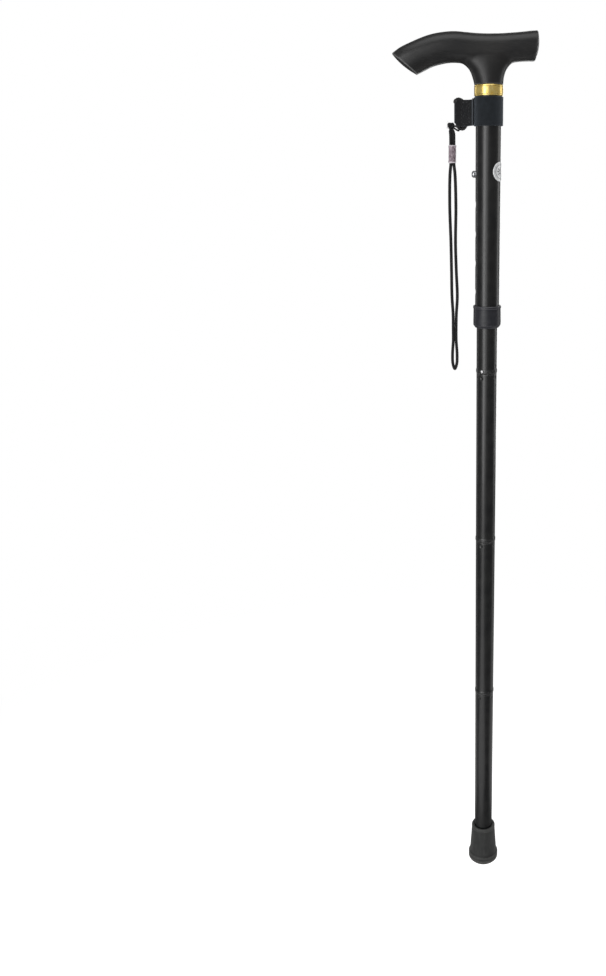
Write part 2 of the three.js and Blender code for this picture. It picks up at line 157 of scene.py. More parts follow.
# ------------------------------------------------------------------ materials
def make_handle():
    k = Surface("moulded_handle")
    broad = k.noise(scale=0.035, detail=4, rough=0.55)
    mottle = k.noise(scale=0.4, detail=5, rough=0.6, stretch=(0.5, 1, 1.3))
    grain = k.noise(scale=3.2, detail=4, rough=0.65)
    scratch = k.noise(scale=1.1, detail=2, rough=0.5, stretch=(0.05, 1.6, 1.6), distort=0.3)
    colour = k.mix(base=(0.0075, 0.0075, 0.0080), over=(0.0130, 0.0125, 0.0122),
                   amount=k.remap(broad, span=(0.35, 0.68)))
    colour = k.mix(colour, over=(0.022, 0.021, 0.020),
                   amount=k.remap(mottle, span=(0.56, 0.78), to=(0, 0.45)))
    # colour on convex ridges: worn edges, and along the nose rim a painted highlight
    ridge_tint = k.mul(k.attr("edge"), k.remap(grain, span=(0.35, 0.7), to=(0.25, 1.0)))
    colour = k.mix(colour, over=(0.16, 0.16, 0.16), amount=ridge_tint)
    rough = k.add(k.remap(mottle, span=(0.3, 0.75), to=(0.34, 0.46)),
                  k.remap(scratch, span=(0.62, 0.75), to=(0, 0.14)))
    ripple = k.noise(scale=0.8, detail=3, rough=0.5)
    height = k.add(k.mul(grain, 0.6), k.mul(ripple, 0.5))
    return k.finish(base=colour, rough=rough, spec=0.42, coat=0.15, coat_rough=0.28,
                    normal=k.bump(height, depth=0.035, strength=0.6))


def make_paint():
    k = Surface("gloss_black_tube")
    cloud = k.noise(scale=0.09, detail=3, rough=0.5)
    peel = k.noise(scale=0.30, detail=2, rough=0.5)
    fleck = k.noise(scale=7.0, detail=2, rough=0.5)
    scratch = k.noise(scale=2.4, detail=3, rough=0.6, stretch=(2.2, 2.2, 0.03), distort=0.25)
    nick = k.remap(k.cells(scale=0.075, stretch=(1, 1, 0.6)), span=(0.018, 0.028), to=(1, 0))
    colour = k.mix(base=(0.0042, 0.0045, 0.0050), over=(0.0085, 0.0085, 0.0085),
                   amount=k.remap(cloud, span=(0.35, 0.7)))
    colour = k.mix(colour, over=(0.02, 0.02, 0.022),
                   amount=k.remap(fleck, span=(0.66, 0.8), to=(0, 0.25)))
    colour = k.mix(colour, over=(0.2, 0.2, 0.2), amount=k.mul(nick, 0.35))
    patchy = k.remap(k.noise(scale=0.9, detail=4, rough=0.65), span=(0.42, 0.62))
    colour = k.mix(colour, over=(0.09, 0.09, 0.09), amount=k.mul(k.attr("edge"), patchy))
    # painted shade: near-black inside the pressed dimples
    colour = k.mix(colour, over=(0.0012, 0.0012, 0.0012), amount=k.attr("dark"))
    rough = k.add(k.remap(cloud, span=(0.3, 0.7), to=(0.34, 0.42)),
                  k.remap(scratch, span=(0.58, 0.72), to=(0, 0.10)))
    return k.finish(base=colour, rough=rough, spec=0.55, coat=0.5,
                    coat_rough=k.remap(cloud, span=(0.3, 0.7), to=(0.15, 0.20)),
                    normal=k.bump(k.add(peel, k.mul(scratch, 0.05)), depth=0.02, strength=0.35))


def make_gold():
    k = Surface("polished_gold_ring")
    line = k.noise(scale=9.0, detail=3, rough=0.6, stretch=(0.35, 1, 1), vec=k.around())
    cloud = k.noise(scale=0.35, detail=3, rough=0.5)
    colour = k.mix(base=(0.94, 0.65, 0.15), over=(1.0, 0.79, 0.30),
                   amount=k.remap(cloud, span=(0.3, 0.7)))
    # painted shade in the grooves and on the inner face
    colour = k.mix(colour, over=(0.20, 0.12, 0.02), amount=k.attr("dark"))
    return k.finish(base=colour, metal=0.80, spec=0.6,
                    rough=k.remap(line, span=(0.3, 0.7), to=(0.20, 0.28)),
                    normal=k.bump(line, depth=0.004, strength=0.15))


def make_spigot():
    k = Surface("drawn_spigot_metal")
    ring = k.noise(scale=4.0, detail=4, rough=0.65, stretch=(0.2, 1, 1), vec=k.around())
    slide = k.noise(scale=1.4, detail=4, rough=0.6, stretch=(2.6, 2.6, 0.05))
    colour = k.mix(base=(0.030, 0.029, 0.029), over=(0.085, 0.082, 0.080),
                   amount=k.remap(slide, span=(0.35, 0.7)))
    ridge_tint = k.mul(k.attr("edge"), k.remap(ring, span=(0.3, 0.55), to=(0.5, 1.0)))
    colour = k.mix(colour, over=(0.72, 0.72, 0.73), amount=ridge_tint)
    # painted shade: near-black inside the pressed dimples
    colour = k.mix(colour, over=(0.004, 0.004, 0.004), amount=k.attr("dark"))
    return k.finish(base=colour, metal=0.85,
                    rough=k.remap(ring, span=(0.3, 0.7), to=(0.26, 0.40)),
                    normal=k.bump(k.add(ring, slide), depth=0.012, strength=0.6))


def make_rubber():
    k = Surface("grey_rubber")
    cloud = k.noise(scale=0.12, detail=4, rough=0.6)
    fine = k.noise(scale=4.5, detail=4, rough=0.7)
    streak = k.noise(scale=0.6, detail=3, rough=0.5, stretch=(1.2, 1.2, 0.12))
    dust = k.noise(scale=1.3, detail=5, rough=0.7)
    colour = k.mix(base=(0.0115, 0.0122, 0.0122), over=(0.0225, 0.0232, 0.0220),
                   amount=k.remap(cloud, span=(0.32, 0.68)))
    colour = k.mix(colour, over=(0.045, 0.046, 0.044),
                   amount=k.remap(streak, span=(0.5, 0.75), to=(0, 0.4)))
    ridge_tint = k.mul(k.attr("edge"), k.remap(dust, span=(0.35, 0.65), to=(0.2, 0.8)))
    colour = k.mix(colour, over=(0.13, 0.13, 0.125), amount=ridge_tint)
    dirt = k.mul(k.remap(k.axes()[2], span=(0.0, 7.0), to=(0.55, 0.0)),
                 k.remap(dust, span=(0.4, 0.7)))
    colour = k.mix(colour, over=(0.16, 0.15, 0.13), amount=dirt)
    # painted shade in the side groove, down the bore and in the step above the flange
    colour = k.mix(colour, over=(0.004, 0.004, 0.004), amount=k.attr("dark"))
    return k.finish(base=colour, spec=0.42, sheen=0.08,
                    rough=k.remap(fine, span=(0.3, 0.7), to=(0.52, 0.70)),
                    normal=k.bump(k.add(fine, k.mul(dust, 0.8)), depth=0.05, strength=0.6))


def make_collar():
    k = Surface("collar_plastic")
    cloud = k.noise(scale=0.2, detail=3, rough=0.5)
    grain = k.noise(scale=5.0, detail=3, rough=0.6)
    turned = k.noise(scale=2.2, detail=2, rough=0.5, stretch=(0.15, 1, 1), vec=k.around())
    colour = k.mix(base=(0.0100, 0.0106, 0.0145), over=(0.0155, 0.0160, 0.0205),
                   amount=k.remap(cloud, span=(0.3, 0.7)))
    # painted highlight: a lighter tone along the collar's convex edges
    colour = k.mix(colour, over=(0.07, 0.07, 0.078), amount=k.mul(k.attr("edge"), 0.8))
    return k.finish(base=colour, spec=0.5,
                    rough=k.remap(turned, span=(0.3, 0.7), to=(0.34, 0.48)),
                    normal=k.bump(k.add(grain, turned), depth=0.03, strength=0.5))


def make_webbing(name, low, high):
    """Woven webbing: fuzz and slight fading on the raised threads."""
    k = Surface(name)
    thread = k.attr("thread")
    fuzz = k.noise(scale=9.0, detail=4, rough=0.75)
    blot = k.noise(scale=0.25, detail=3, rough=0.5)
    faded = (high[0] * 1.35, high[1] * 1.3, high[2] * 1.25)
    colour = k.mix(base=low, over=high, amount=k.remap(thread, span=(0.0, 1.0)))
    colour = k.mix(colour, over=faded, amount=k.remap(blot, span=(0.35, 0.7), to=(0, 0.5)))
    colour = k.mix(colour, over=(0.05, 0.052, 0.056),
                   amount=k.remap(fuzz, span=(0.6, 0.78), to=(0, 0.35)))
    return k.finish(base=colour, spec=0.25, sheen=0.35, sheen_rough=0.45,
                    sheen_tint=(0.55, 0.62, 0.72),
                    rough=k.remap(fuzz, span=(0.3, 0.7), to=(0.72, 0.92)),
                    normal=k.bump(k.add(thread, k.mul(fuzz, 0.6)), depth=0.10, strength=0.8))


def make_cord(name, low, high, sheen):
    k = Surface(name)
    thread = k.attr("thread")
    fuzz = k.noise(scale=12.0, detail=4, rough=0.75)
    blot = k.noise(scale=0.15, detail=3, rough=0.5)
    colour = k.mix(base=low, over=high, amount=thread)
    colour = k.mix(colour, over=tuple(1.3 * c for c in high),
                   amount=k.remap(blot, span=(0.4, 0.7), to=(0, 0.5)))
    colour = k.mix(colour, over=(0.07, 0.07, 0.072),
                   amount=k.remap(fuzz, span=(0.62, 0.8), to=(0, 0.3)))
    return k.finish(base=colour, spec=0.3, sheen=sheen, sheen_rough=0.4,
                    rough=k.remap(fuzz, span=(0.3, 0.7), to=(0.62, 0.88)),
                    normal=k.bump(k.add(thread, k.mul(fuzz, 0.5)), depth=0.06, strength=0.8))


def make_ferrule():
    k = Surface("cloudy_ferrule")
    cloud = k.noise(scale=0.55, detail=4, rough=0.6, stretch=(1, 1, 0.6), distort=0.6)
    fine = k.noise(scale=3.0, detail=3, rough=0.6)
    colour = k.mix(base=(0.11, 0.075, 0.092), over=(0.33, 0.27, 0.30),
                   amount=k.remap(cloud, span=(0.35, 0.65)))
    colour = k.mix(colour, over=(0.66, 0.62, 0.65), amount=k.attr("edge"))
    return k.finish(base=colour, spec=0.5, trans=0.06, coat=0.5, coat_rough=0.12,
                    rough=k.remap(fine, span=(0.3, 0.7), to=(0.18, 0.34)),
                    normal=k.bump(k.add(cloud, fine), depth=0.04, strength=0.5))


def make_steel(name, tone):
    k = Surface(name)
    fine = k.noise(scale=5.0, detail=4, rough=0.6)
    brush = k.noise(scale=6.0, detail=3, rough=0.6, stretch=(1, 0.15, 0.15))
    colour = k.mix(base=tone, over=tuple(0.72 * c for c in tone),
                   amount=k.remap(fine, span=(0.35, 0.7)))
    # dark: painted shade, used in the button's groove
    colour = k.mix(colour, over=(0.05, 0.05, 0.055), amount=k.attr("dark"))
    return k.finish(base=colour, metal=1.0,
                    rough=k.remap(brush, span=(0.3, 0.7), to=(0.16, 0.34)),
                    normal=k.bump(brush, depth=0.015, strength=0.5))


def make_nylon():
    k = Surface("cord_anchor_nylon")
    grain = k.noise(scale=3.0, detail=4, rough=0.6)
    cloud = k.noise(scale=0.3, detail=3, rough=0.5)
    colour = k.mix(base=(0.018, 0.018, 0.019), over=(0.035, 0.035, 0.036),
                   amount=k.remap(cloud, span=(0.3, 0.7)))
    return k.finish(base=colour, spec=0.4,
                    rough=k.remap(grain, span=(0.3, 0.7), to=(0.45, 0.62)),
                    normal=k.bump(grain, depth=0.05, strength=0.6))


def make_label():
    k = Surface("round_label_foil")
    grain = k.noise(scale=8.0, detail=4, rough=0.7)
    cloud = k.noise(scale=0.5, detail=3, rough=0.5)
    colour = k.mix(base=(0.60, 0.61, 0.62), over=(0.78, 0.79, 0.79),
                   amount=k.remap(cloud, span=(0.3, 0.7)))
    colour = k.mix(colour, over=(0.05, 0.055, 0.06), amount=k.attr("tone"))
    colour = k.mix(colour, over=(0.33, 0.34, 0.34),
                   amount=k.remap(grain, span=(0.6, 0.75), to=(0, 0.35)))
    return k.finish(base=colour, metal=0.35, coat=0.3, coat_rough=0.2,
                    rough=k.remap(grain, span=(0.3, 0.7), to=(0.28, 0.42)),
                    normal=k.bump(grain, depth=0.02, strength=0.5))


# low is the colour between the threads, high the colour on top of them
M = {
    "handle": make_handle(),
    "paint": make_paint(),
    "gold": make_gold(),
    "spigot": make_spigot(),
    "rubber": make_rubber(),
    "collar": make_collar(),
    "webbing": make_webbing("strap_webbing", low=(0.0022, 0.0030, 0.0040),
                            high=(0.0080, 0.0112, 0.0150)),
    "tab": make_webbing("tab_webbing", low=(0.0022, 0.0023, 0.0026),
                        high=(0.0082, 0.0084, 0.0090)),
    "elastic": make_cord("ribbed_elastic", low=(0.0025, 0.0025, 0.0027),
                         high=(0.022, 0.021, 0.021), sheen=0.4),
    "cord": make_cord("lanyard_cord", low=(0.0020, 0.0020, 0.0022),
                      high=(0.0095, 0.0095, 0.0100), sheen=0.2),
    "stitch": make_cord("stitching_thread", low=(0.006, 0.006, 0.007),
                        high=(0.030, 0.030, 0.032), sheen=0.3),
    "ferrule": make_ferrule(),
    "steel": make_steel("bright_steel", tone=(0.62, 0.63, 0.65)),
    "rivet": make_steel("bright_rivet", tone=(0.86, 0.86, 0.87)),
    "nylon": make_nylon(),
    "label": make_label(),
}


# ------------------------------------------------------------------ meshes and objects
def add_attr(mesh, name, values):
    attribute = mesh.attributes.get(name) or mesh.attributes.new(name, "FLOAT", "POINT")
    attribute.data.foreach_set("value", np.asarray(values, np.float32))


def read_mesh(mesh):
    """Vertex positions in millimetres, and the vertex pair of each edge."""
    points = np.zeros(len(mesh.vertices) * 3)
    mesh.vertices.foreach_get("co", points)
    edges = np.zeros(len(mesh.edges) * 2, np.int32)
    mesh.edges.foreach_get("vertices", edges)
    return points.reshape(-1, 3) / MM, edges.reshape(-1, 2)


def convex_ridge_mask(mesh, gain):
    """0..1 on convex ridges of the mesh, 0 elsewhere."""
    points, edges = read_mesh(mesh)
    normals = np.zeros(len(points) * 3, np.float32)
    mesh.vertex_normals.foreach_get("vector", normals)
    normals = normals.reshape(-1, 3)
    a, b = edges.T
    along = points[a] - points[b]
    bend = ((normals[a] - normals[b]) * along).sum(1) / np.maximum((along ** 2).sum(1), 1e-9)
    total, count = np.zeros(len(points)), np.zeros(len(points))
    for end in (a, b):
        np.add.at(total, end, bend)
        np.add.at(count, end, 1)
    return np.clip(total / np.maximum(count, 1) * gain, 0, 1)


def raw_mesh(name, verts, faces):
    """Mesh from points in millimetres, its faces turned outward."""
    mesh = bpy.data.meshes.new(name)
    mesh.from_pydata([tuple(v) for v in np.asarray(verts, float) * MM], [], faces)
    mesh.update()
    bm = bmesh.new()
    bm.from_mesh(mesh)
    bmesh.ops.recalc_face_normals(bm, faces=bm.faces)
    bm.to_mesh(mesh)
    bm.free()
    return mesh


def add_object(name, data):
    ob = bpy.data.objects.new(name, data)
    scene.collection.objects.link(ob)
    return ob


def build(name, verts, faces, material, smooth=38, ridge_tint=None, attrs=None):
    """smooth: angle in degrees above which an edge is sharp. The ridge gain sets the colour on
    convex ridges: worn edges, and on the collar a painted highlight.
    """
    mesh = raw_mesh(name, verts, faces)
    mesh.polygons.foreach_set("use_smooth", [True] * len(mesh.polygons))
    mesh.set_sharp_from_angle(angle=math.radians(smooth))
    add_attr(mesh, "edge", convex_ridge_mask(mesh, ridge_tint) if ridge_tint else np.zeros(len(mesh.vertices)))
    for key, values in (attrs or {}).items():
        add_attr(mesh, key, values)
    mesh.materials.append(M[material])
    return add_object(name, mesh)


def build_woven(name, woven, material):
    """Fully smooth object from (verts, faces, attributes)."""
    verts, faces, attrs = woven
    return build(name, verts, faces, material, smooth=180, attrs=attrs)


def place(ob, body, slot, *nodes):
    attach(ob, body)
    if nodes:
        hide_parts(*nodes)


def merge(parts):
    """Joins (verts, faces, attributes) triples into one."""
    verts, faces, attrs, base = [], [], {}, 0
    total = sum(len(part[0]) for part in parts)
    for part_verts, part_faces, part_attrs in parts:
        verts.append(part_verts)
        faces += [[i + base for i in face] for face in part_faces]
        for key, values in part_attrs.items():
            attrs.setdefault(key, np.zeros(total))[base:base + len(part_verts)] = values
        base += len(part_verts)
    return np.vstack(verts), faces, attrs


def tube_faces(rows, columns):
    faces = []
    for i in range(rows - 1):
        a, b = i * columns, (i + 1) * columns
        for j in range(columns):
            k = (j + 1) % columns
            faces.append([a + j, a + k, b + k, b + j])
    return faces


def capped_faces(rows, columns):
    first = list(range(columns))[::-1]
    last = [(rows - 1) * columns + j for j in range(columns)]
    return tube_faces(rows, columns) + [first, last]


def skin(rows):
    return np.vstack(rows), capped_faces(len(rows), len(rows[0]))


# ------------------------------------------------------------------ outlines and lathe
def round_corners(outline, steps=5, closed=False):
    """outline rows: radius, z, corner radius. Each corner becomes a short arc."""
    points = np.array(outline, float)[:, :2]
    count = len(points)
    out = []
    for i, (_, _, corner) in enumerate(outline):
        here = points[i]
        if corner <= 0 or (not closed and i in (0, count - 1)):
            out.append(here)
            continue
        back, ahead = points[i - 1] - here, points[(i + 1) % count] - here
        back_length, ahead_length = np.linalg.norm(back), np.linalg.norm(ahead)
        back, ahead = back / back_length, ahead / ahead_length
        angle = math.acos(max(-1, min(1, float(back @ ahead))))
        if angle > math.radians(176):
            out.append(here)
            continue
        trim = min(corner / math.tan(angle / 2), 0.46 * back_length, 0.46 * ahead_length)
        start, end = here + back * trim, here + ahead * trim
        for k in range(steps + 1):
            t = k / steps
            weight = 2 * (1 - t) * t * math.sin(angle / 2)      # this weight gives a true arc
            arc = (1 - t) ** 2 * start + weight * here + t * t * end
            out.append(arc / ((1 - t) ** 2 + weight + t * t))
    return out


def mirrored_outline(half, middle, bottom, top):
    """half rows: radius, height from either end, corner radius. middle: radius, corner."""
    return ([(r, bottom + z, corner) for r, z, corner in half]
            + [(middle[0], (bottom + top) / 2, middle[1])]
            + [(r, top - z, corner) for r, z, corner in half[::-1]])


def subdivide(points, step, closed=False):
    out = []
    count = len(points)
    for i in range(count if closed else count - 1):
        a, b = points[i], points[(i + 1) % count]
        pieces = max(1, int(math.ceil(np.linalg.norm(b - a) / step)))
        out += [a + (b - a) * k / pieces for k in range(pieces)]
    if not closed:
        out.append(points[-1])
    return out


def lathe(points, segments, closed=True, shift=None):
    """Revolves (radius, z) points. closed: a ring-shaped section; otherwise the ends lie
    on the axis. shift(angle, radius, z) is added to the radius."""
    angles = np.arange(segments) / segments * 2 * math.pi
    verts, faces, rows = [], [], []
    for r, z in points:
        if not closed and abs(r) < 1e-7:
            rows.append([len(verts)] * segments)
            verts.append((0, 0, z))
            continue
        rows.append(range(len(verts), len(verts) + segments))
        for angle in angles:
            radius = r + shift(angle, r, z) if shift else r
            verts.append((radius * math.cos(angle), radius * math.sin(angle), z))
    count = len(points)
    for i in range(count if closed else count - 1):
        a, b = rows[i], rows[(i + 1) % count]
        for j in range(segments):
            k = (j + 1) % segments
            face = list(dict.fromkeys([a[j], a[k], b[k], b[j]]))
            if len(face) > 2:
                faces.append(face)
    return np.array(verts), faces


def radius_of(verts):
    return np.hypot(verts[:, 0], verts[:, 1])


# ------------------------------------------------------------------ paths and cords
def catmull(points, per):
    """Centripetal Catmull-Rom curve through the points, per steps to each span."""
    P = np.array(points, float)
    P = np.vstack([2 * P[0] - P[1], P, 2 * P[-1] - P[-2]])
    out = []
    for i in range(1, len(P) - 2):
        p0, p1, p2, p3 = P[i - 1:i + 3]
        d = [max(np.linalg.norm(b - a) ** 0.5, 1e-6) for a, b in ((p0, p1), (p1, p2), (p2, p3))]
        m1 = (p1 - p0) / d[0] - (p2 - p0) / (d[0] + d[1]) + (p2 - p1) / d[1]
        m2 = (p2 - p1) / d[1] - (p3 - p1) / (d[1] + d[2]) + (p3 - p2) / d[2]
        m1, m2 = m1 * d[1], m2 * d[1]
        for k in range(per):
            t = k / per
            out.append(p1 + m1 * t + (-3 * p1 + 3 * p2 - 2 * m1 - m2) * t * t
                       + (2 * p1 - 2 * p2 + m1 + m2) * t ** 3)
    out.append(P[-2])
    return np.array(out)


def resample(path, step):
    """Evenly spaced points along the path, and their distances along it."""
    dist = np.r_[0, np.cumsum(np.linalg.norm(np.diff(path, axis=0), axis=1))]
    even = np.linspace(0, dist[-1], max(2, int(round(dist[-1] / step)) + 1))
    return np.column_stack([np.interp(even, dist, path[:, k]) for k in range(3)]), even


def tangents(path):
    T = np.gradient(path, axis=0)
    return T / np.linalg.norm(T, axis=1)[:, None]


def sweep(path, step, sides, section):
    """Cord with domed ends. section(distance, angle) gives radius and thread arrays."""
    P, dist = resample(path, step)
    rows = len(P)
    T = tangents(P)
    N = np.zeros_like(P)
    guide = np.array([0.0, 1.0, 0.0]) if abs(T[0][1]) < 0.9 else np.array([1.0, 0, 0])
    for i in range(rows):
        side = (N[i - 1] if i else guide)
        side = side - T[i] * (side @ T[i])
        N[i] = side / np.linalg.norm(side)
    B = np.cross(T, N)
    S, A = np.meshgrid(dist, np.arange(sides) / sides * 2 * math.pi, indexing="ij")
    R, thread = section(S, A)
    from_end = np.clip(np.minimum(S, dist[-1] - S) / (R.mean() * 0.9), 0, 1)
    R = R * np.sqrt(np.clip(1 - (1 - from_end) ** 2, 0.02, 1))
    ring = np.cos(A)[..., None] * N[:, None] + np.sin(A)[..., None] * B[:, None]
    verts = np.vstack([(P[:, None] + R[..., None] * ring).reshape(-1, 3), P[0], P[-1]])
    faces = tube_faces(rows, sides)
    last, start, end = (rows - 1) * sides, rows * sides, rows * sides + 1
    for j in range(sides):
        k = (j + 1) % sides
        faces += [[start, k, j], [end, last + j, last + k]]
    return verts, faces, {"thread": np.r_[thread.reshape(-1), 0.5, 0.5]}


def braid(radius, depth, carriers, pitch):
    """Braided cord: two opposite sets of strands crossing each other."""
    def section(S, A):
        turn = 2 * math.pi / pitch
        left = 0.5 + 0.5 * np.cos(carriers * A + carriers * turn * S)
        right = 0.5 + 0.5 * np.cos(carriers * A - carriers * turn * S)
        height = np.maximum(left, right) ** 0.8
        return radius - depth * (1 - height), np.clip(height, 0, 1)
    return section


def ribbed(radius, depth, pitch):
    """Covered elastic: raised wraps round the cord with a thread pattern along it."""
    def section(S, A):
        wrap = np.abs(np.cos(math.pi * S / pitch + 0.35 * np.sin(A * 2))) ** 0.6
        groove = 0.5 + 0.5 * np.cos(A * 9 + S * 1.2)
        return (radius - depth * (1 - wrap) - 0.25 * depth * groove,
                np.clip(0.75 * wrap + 0.25 * (1 - groove), 0, 1))
    return section


LANYARD_BRAID = braid(radius=1.5, depth=0.17, carriers=4, pitch=6.5)


def weave(along, across, along_pitch, across_pitch):
    """Raised height (0..1) of a plain weave."""
    wave = np.sin(math.pi * across / across_pitch)
    over = 0.5 + 0.5 * np.sin(2 * math.pi * (along / along_pitch)) * np.sign(wave)
    return np.abs(wave) ** 0.7 * (0.45 + 0.55 * over)


# ------------------------------------------------------------------ handle
# columns: top line x and z, bottom line x and z, half width
GRIP = [
    (-81.88, 832.8, -60.84, 816.6, 11.2), (-74.66, 837.6, -54.24, 819.6, 11.9),
    (-66.48, 841.2, -47.66, 822.6, 12.4), (-57.53, 844.7, -41.12, 824.4, 12.8),
    (-48.63, 847.4, -35.43, 825.4, 13.0), (-38.98, 849.0, -30.56, 825.8, 13.1),
    (-29.37, 849.6, -25.5, 825.6, 13.0), (-19.78, 848.9, -19.2, 825.0, 12.8),
    (-10.17, 848.1, -10.3, 824.6, 12.6), (-0.56, 847.8, -0.57, 824.5, 12.5),
    (9.05, 847.9, 9.16, 824.8, 12.4), (18.66, 848.4, 18.48, 825.4, 12.2),
    (28.26, 849.1, 27.39, 826.3, 12.1), (35.45, 849.8, 33.87, 826.5, 12.0),
    (41.04, 850.0, 38.97, 826.5, 11.9)]
# columns: left x, right x, z, half width
NECK = [
    (-23.0, 20.5, 829.5, 11.6), (-21.4, 18.9, 824.6, 12.3), (-18.6, 16.7, 822.3, 12.3),
    (-16.4, 14.9, 820.0, 12.25), (-14.9, 13.6, 817.0, 12.2), (-13.4, 12.7, 813.0, 12.2),
    (-12.35, 12.35, 808.6, 12.2), (-12.2, 12.2, 802.0, 12.2)]
NOSE_POINT, NOSE_NORMAL = np.array([-71.36, 0, 824.7]), np.array([-0.610075, 0, -0.792344])
END_POINT, END_NORMAL = (40.005, 0, 838.25), (0.996143, 0, -0.087745)
NECK_POINT, NECK_NORMAL = (0, 0, 808.55), (0, 0, -1.0)


def handle_blank():
    """Grip and neck as two overlapping skins."""
    grip = catmull(GRIP, 6)
    # both ends run on past the planes where they are cut
    grip = np.vstack([grip[0] + (grip[0] - grip[3]) * 1.6, grip,
                      grip[-1] + (grip[-1] - grip[-4]) * 1.6])
    angle = np.arange(72) / 72 * 2 * math.pi
    power = 2 / 2.22                                # slightly squared oval
    up = np.sign(np.cos(angle)) * np.abs(np.cos(angle)) ** power
    side = np.sign(np.sin(angle)) * np.abs(np.sin(angle)) ** power
    grip_rows = [np.c_[(tx + bx) / 2 + up * (tx - bx) / 2, side * half,
                       (tz + bz) / 2 + up * (tz - bz) / 2] for tx, tz, bx, bz, half in grip]
    neck_rows = [np.c_[(x0 + x1) / 2 + np.cos(angle) * (x1 - x0) / 2, np.sin(angle) * half,
                       np.full_like(angle, z)] for x0, x1, z, half in catmull(NECK, 5)]
    verts, faces, _ = merge([(*skin(grip_rows), {}), (*skin(neck_rows), {})])
    return verts, faces


def fuse(verts, faces):
    """Remeshes overlapping skins into one."""
    ob = add_object("tmp_handle", raw_mesh("tmp_handle", verts, faces))
    remesh = ob.modifiers.new("r", "REMESH")
    remesh.mode = "VOXEL"
    remesh.voxel_size = 0.75 * MM
    remesh.adaptivity = 0
    depsgraph = bpy.context.evaluated_depsgraph_get()
    mesh = bpy.data.meshes.new_from_object(ob.evaluated_get(depsgraph))
    bpy.data.objects.remove(ob)
    return mesh


def smooth_handle(points, edges):
    degree = np.bincount(edges.ravel(), minlength=len(points))[:, None]

    def pull(current):
        total = np.zeros_like(current)
        np.add.at(total, edges[:, 0], current[edges[:, 1]])
        np.add.at(total, edges[:, 1], current[edges[:, 0]])
        return total / degree - current

    # soft blend where the neck runs into the grip
    weight = np.exp(-((points[:, 2] - 824.5) / 5.0) ** 2)
    weight *= np.clip(1 - (np.abs(points[:, 0] + 1) - 13) / 14, 0, 1)
    for _ in range(90):
        points = points + 0.5 * weight[:, None] * pull(points)
    # overall smoothing, each inward step followed by an outward one to hold the volume
    for _ in range(26):
        points = points + 0.55 * pull(points)
        points = points - 0.57 * pull(points)
    return points


def boundary_loop(bm):
    edges = [e for e in bm.edges if e.is_boundary]
    linked = {}
    for edge in edges:
        a, b = edge.verts
        linked.setdefault(a, []).append(b)
        linked.setdefault(b, []).append(a)
    loop = list(edges[0].verts)
    while True:
        onward = [v for v in linked[loop[-1]] if v is not loop[-2]]
        if not onward or onward[0] is loop[0]:
            return loop
        loop.append(onward[0])


def cut_and_cap(bm, point, normal, fillet, bulge, steps=6):
    """Cuts at a plane and closes the hole with a filleted, slightly domed face."""
    normal = Vector(normal).normalized()
    bmesh.ops.bisect_plane(bm, geom=bm.verts[:] + bm.edges[:] + bm.faces[:],
                           plane_co=Vector(point) - normal * fillet, plane_no=normal,
                           clear_outer=True)
    bmesh.ops.remove_doubles(bm, verts=[v for v in bm.verts if v.is_boundary], dist=0.22)
    prev = boundary_loop(bm)
    count = len(prev)
    centre = sum((v.co for v in prev), Vector()) / count
    spokes = [v.co - centre for v in prev]
    rows = []                                       # rise, inset, scale
    for k in range(1, steps + 1):
        t = k / steps * math.pi / 2
        rows.append((fillet * math.sin(t), fillet * (1 - math.cos(t)), 1.0))
    for s in (0.86, 0.7, 0.54, 0.38, 0.22, 0.1):
        rows.append((fillet + bulge * (1 - s * s), fillet, s))
    for rise, inset, s in rows:
        ring = [bm.verts.new(centre + d * max(0.0, 1 - inset / d.length) * s + normal * rise)
                for d in spokes]
        for i in range(count):
            k = (i + 1) % count
            bm.faces.new([prev[i], prev[k], ring[k], ring[i]])
        prev = ring
    middle = bm.verts.new(centre + normal * (fillet + bulge))
    for i in range(count):
        bm.faces.new([prev[i], prev[(i + 1) % count], middle])


def handle_shell():
    mesh = fuse(*handle_blank())
    points = smooth_handle(*read_mesh(mesh))
    mesh.vertices.foreach_set("co", points.ravel())          # now in millimetres
    bm = bmesh.new()
    bm.from_mesh(mesh)
    cut_and_cap(bm, NOSE_POINT, NOSE_NORMAL, fillet=0.9, bulge=1.3)
    cut_and_cap(bm, END_POINT, END_NORMAL, fillet=1.3, bulge=1.9)
    cut_and_cap(bm, NECK_POINT, NECK_NORMAL, fillet=0.55, bulge=0.0)
    bmesh.ops.recalc_face_normals(bm, faces=bm.faces)
    verts = np.array([v.co for v in bm.verts])
    bm.verts.index_update()
    faces = [[v.index for v in face.verts] for face in bm.faces]
    bm.free()
    return verts, faces


def add_handle():
    """Grip with the plug that goes down into the tube."""
    plug = [(0, 770.2, 0), (9.3, 770.2, 0.6), (9.45, 771.2, 0), (9.45, 812, 0), (0, 812, 0)]
    plug_mesh = lathe(round_corners(plug, 4), 64, closed=False)
    verts, faces, _ = merge([(*handle_shell(), {}), (*plug_mesh, {})])
    grip = build("handle_grip", verts, faces, "handle", smooth=60)
    # the rim of the slanted nose is painted paler as a highlight
    beyond = (verts - NOSE_POINT) @ (NOSE_NORMAL / np.linalg.norm(NOSE_NORMAL))
    rim = np.exp(-((beyond + 0.35) / 0.45) ** 2)
    add_attr(grip.data, "edge", np.maximum(convex_ridge_mask(grip.data, 1.1) * 0.6, rim * 0.9))
    place(grip, "head", "handle", "handle")


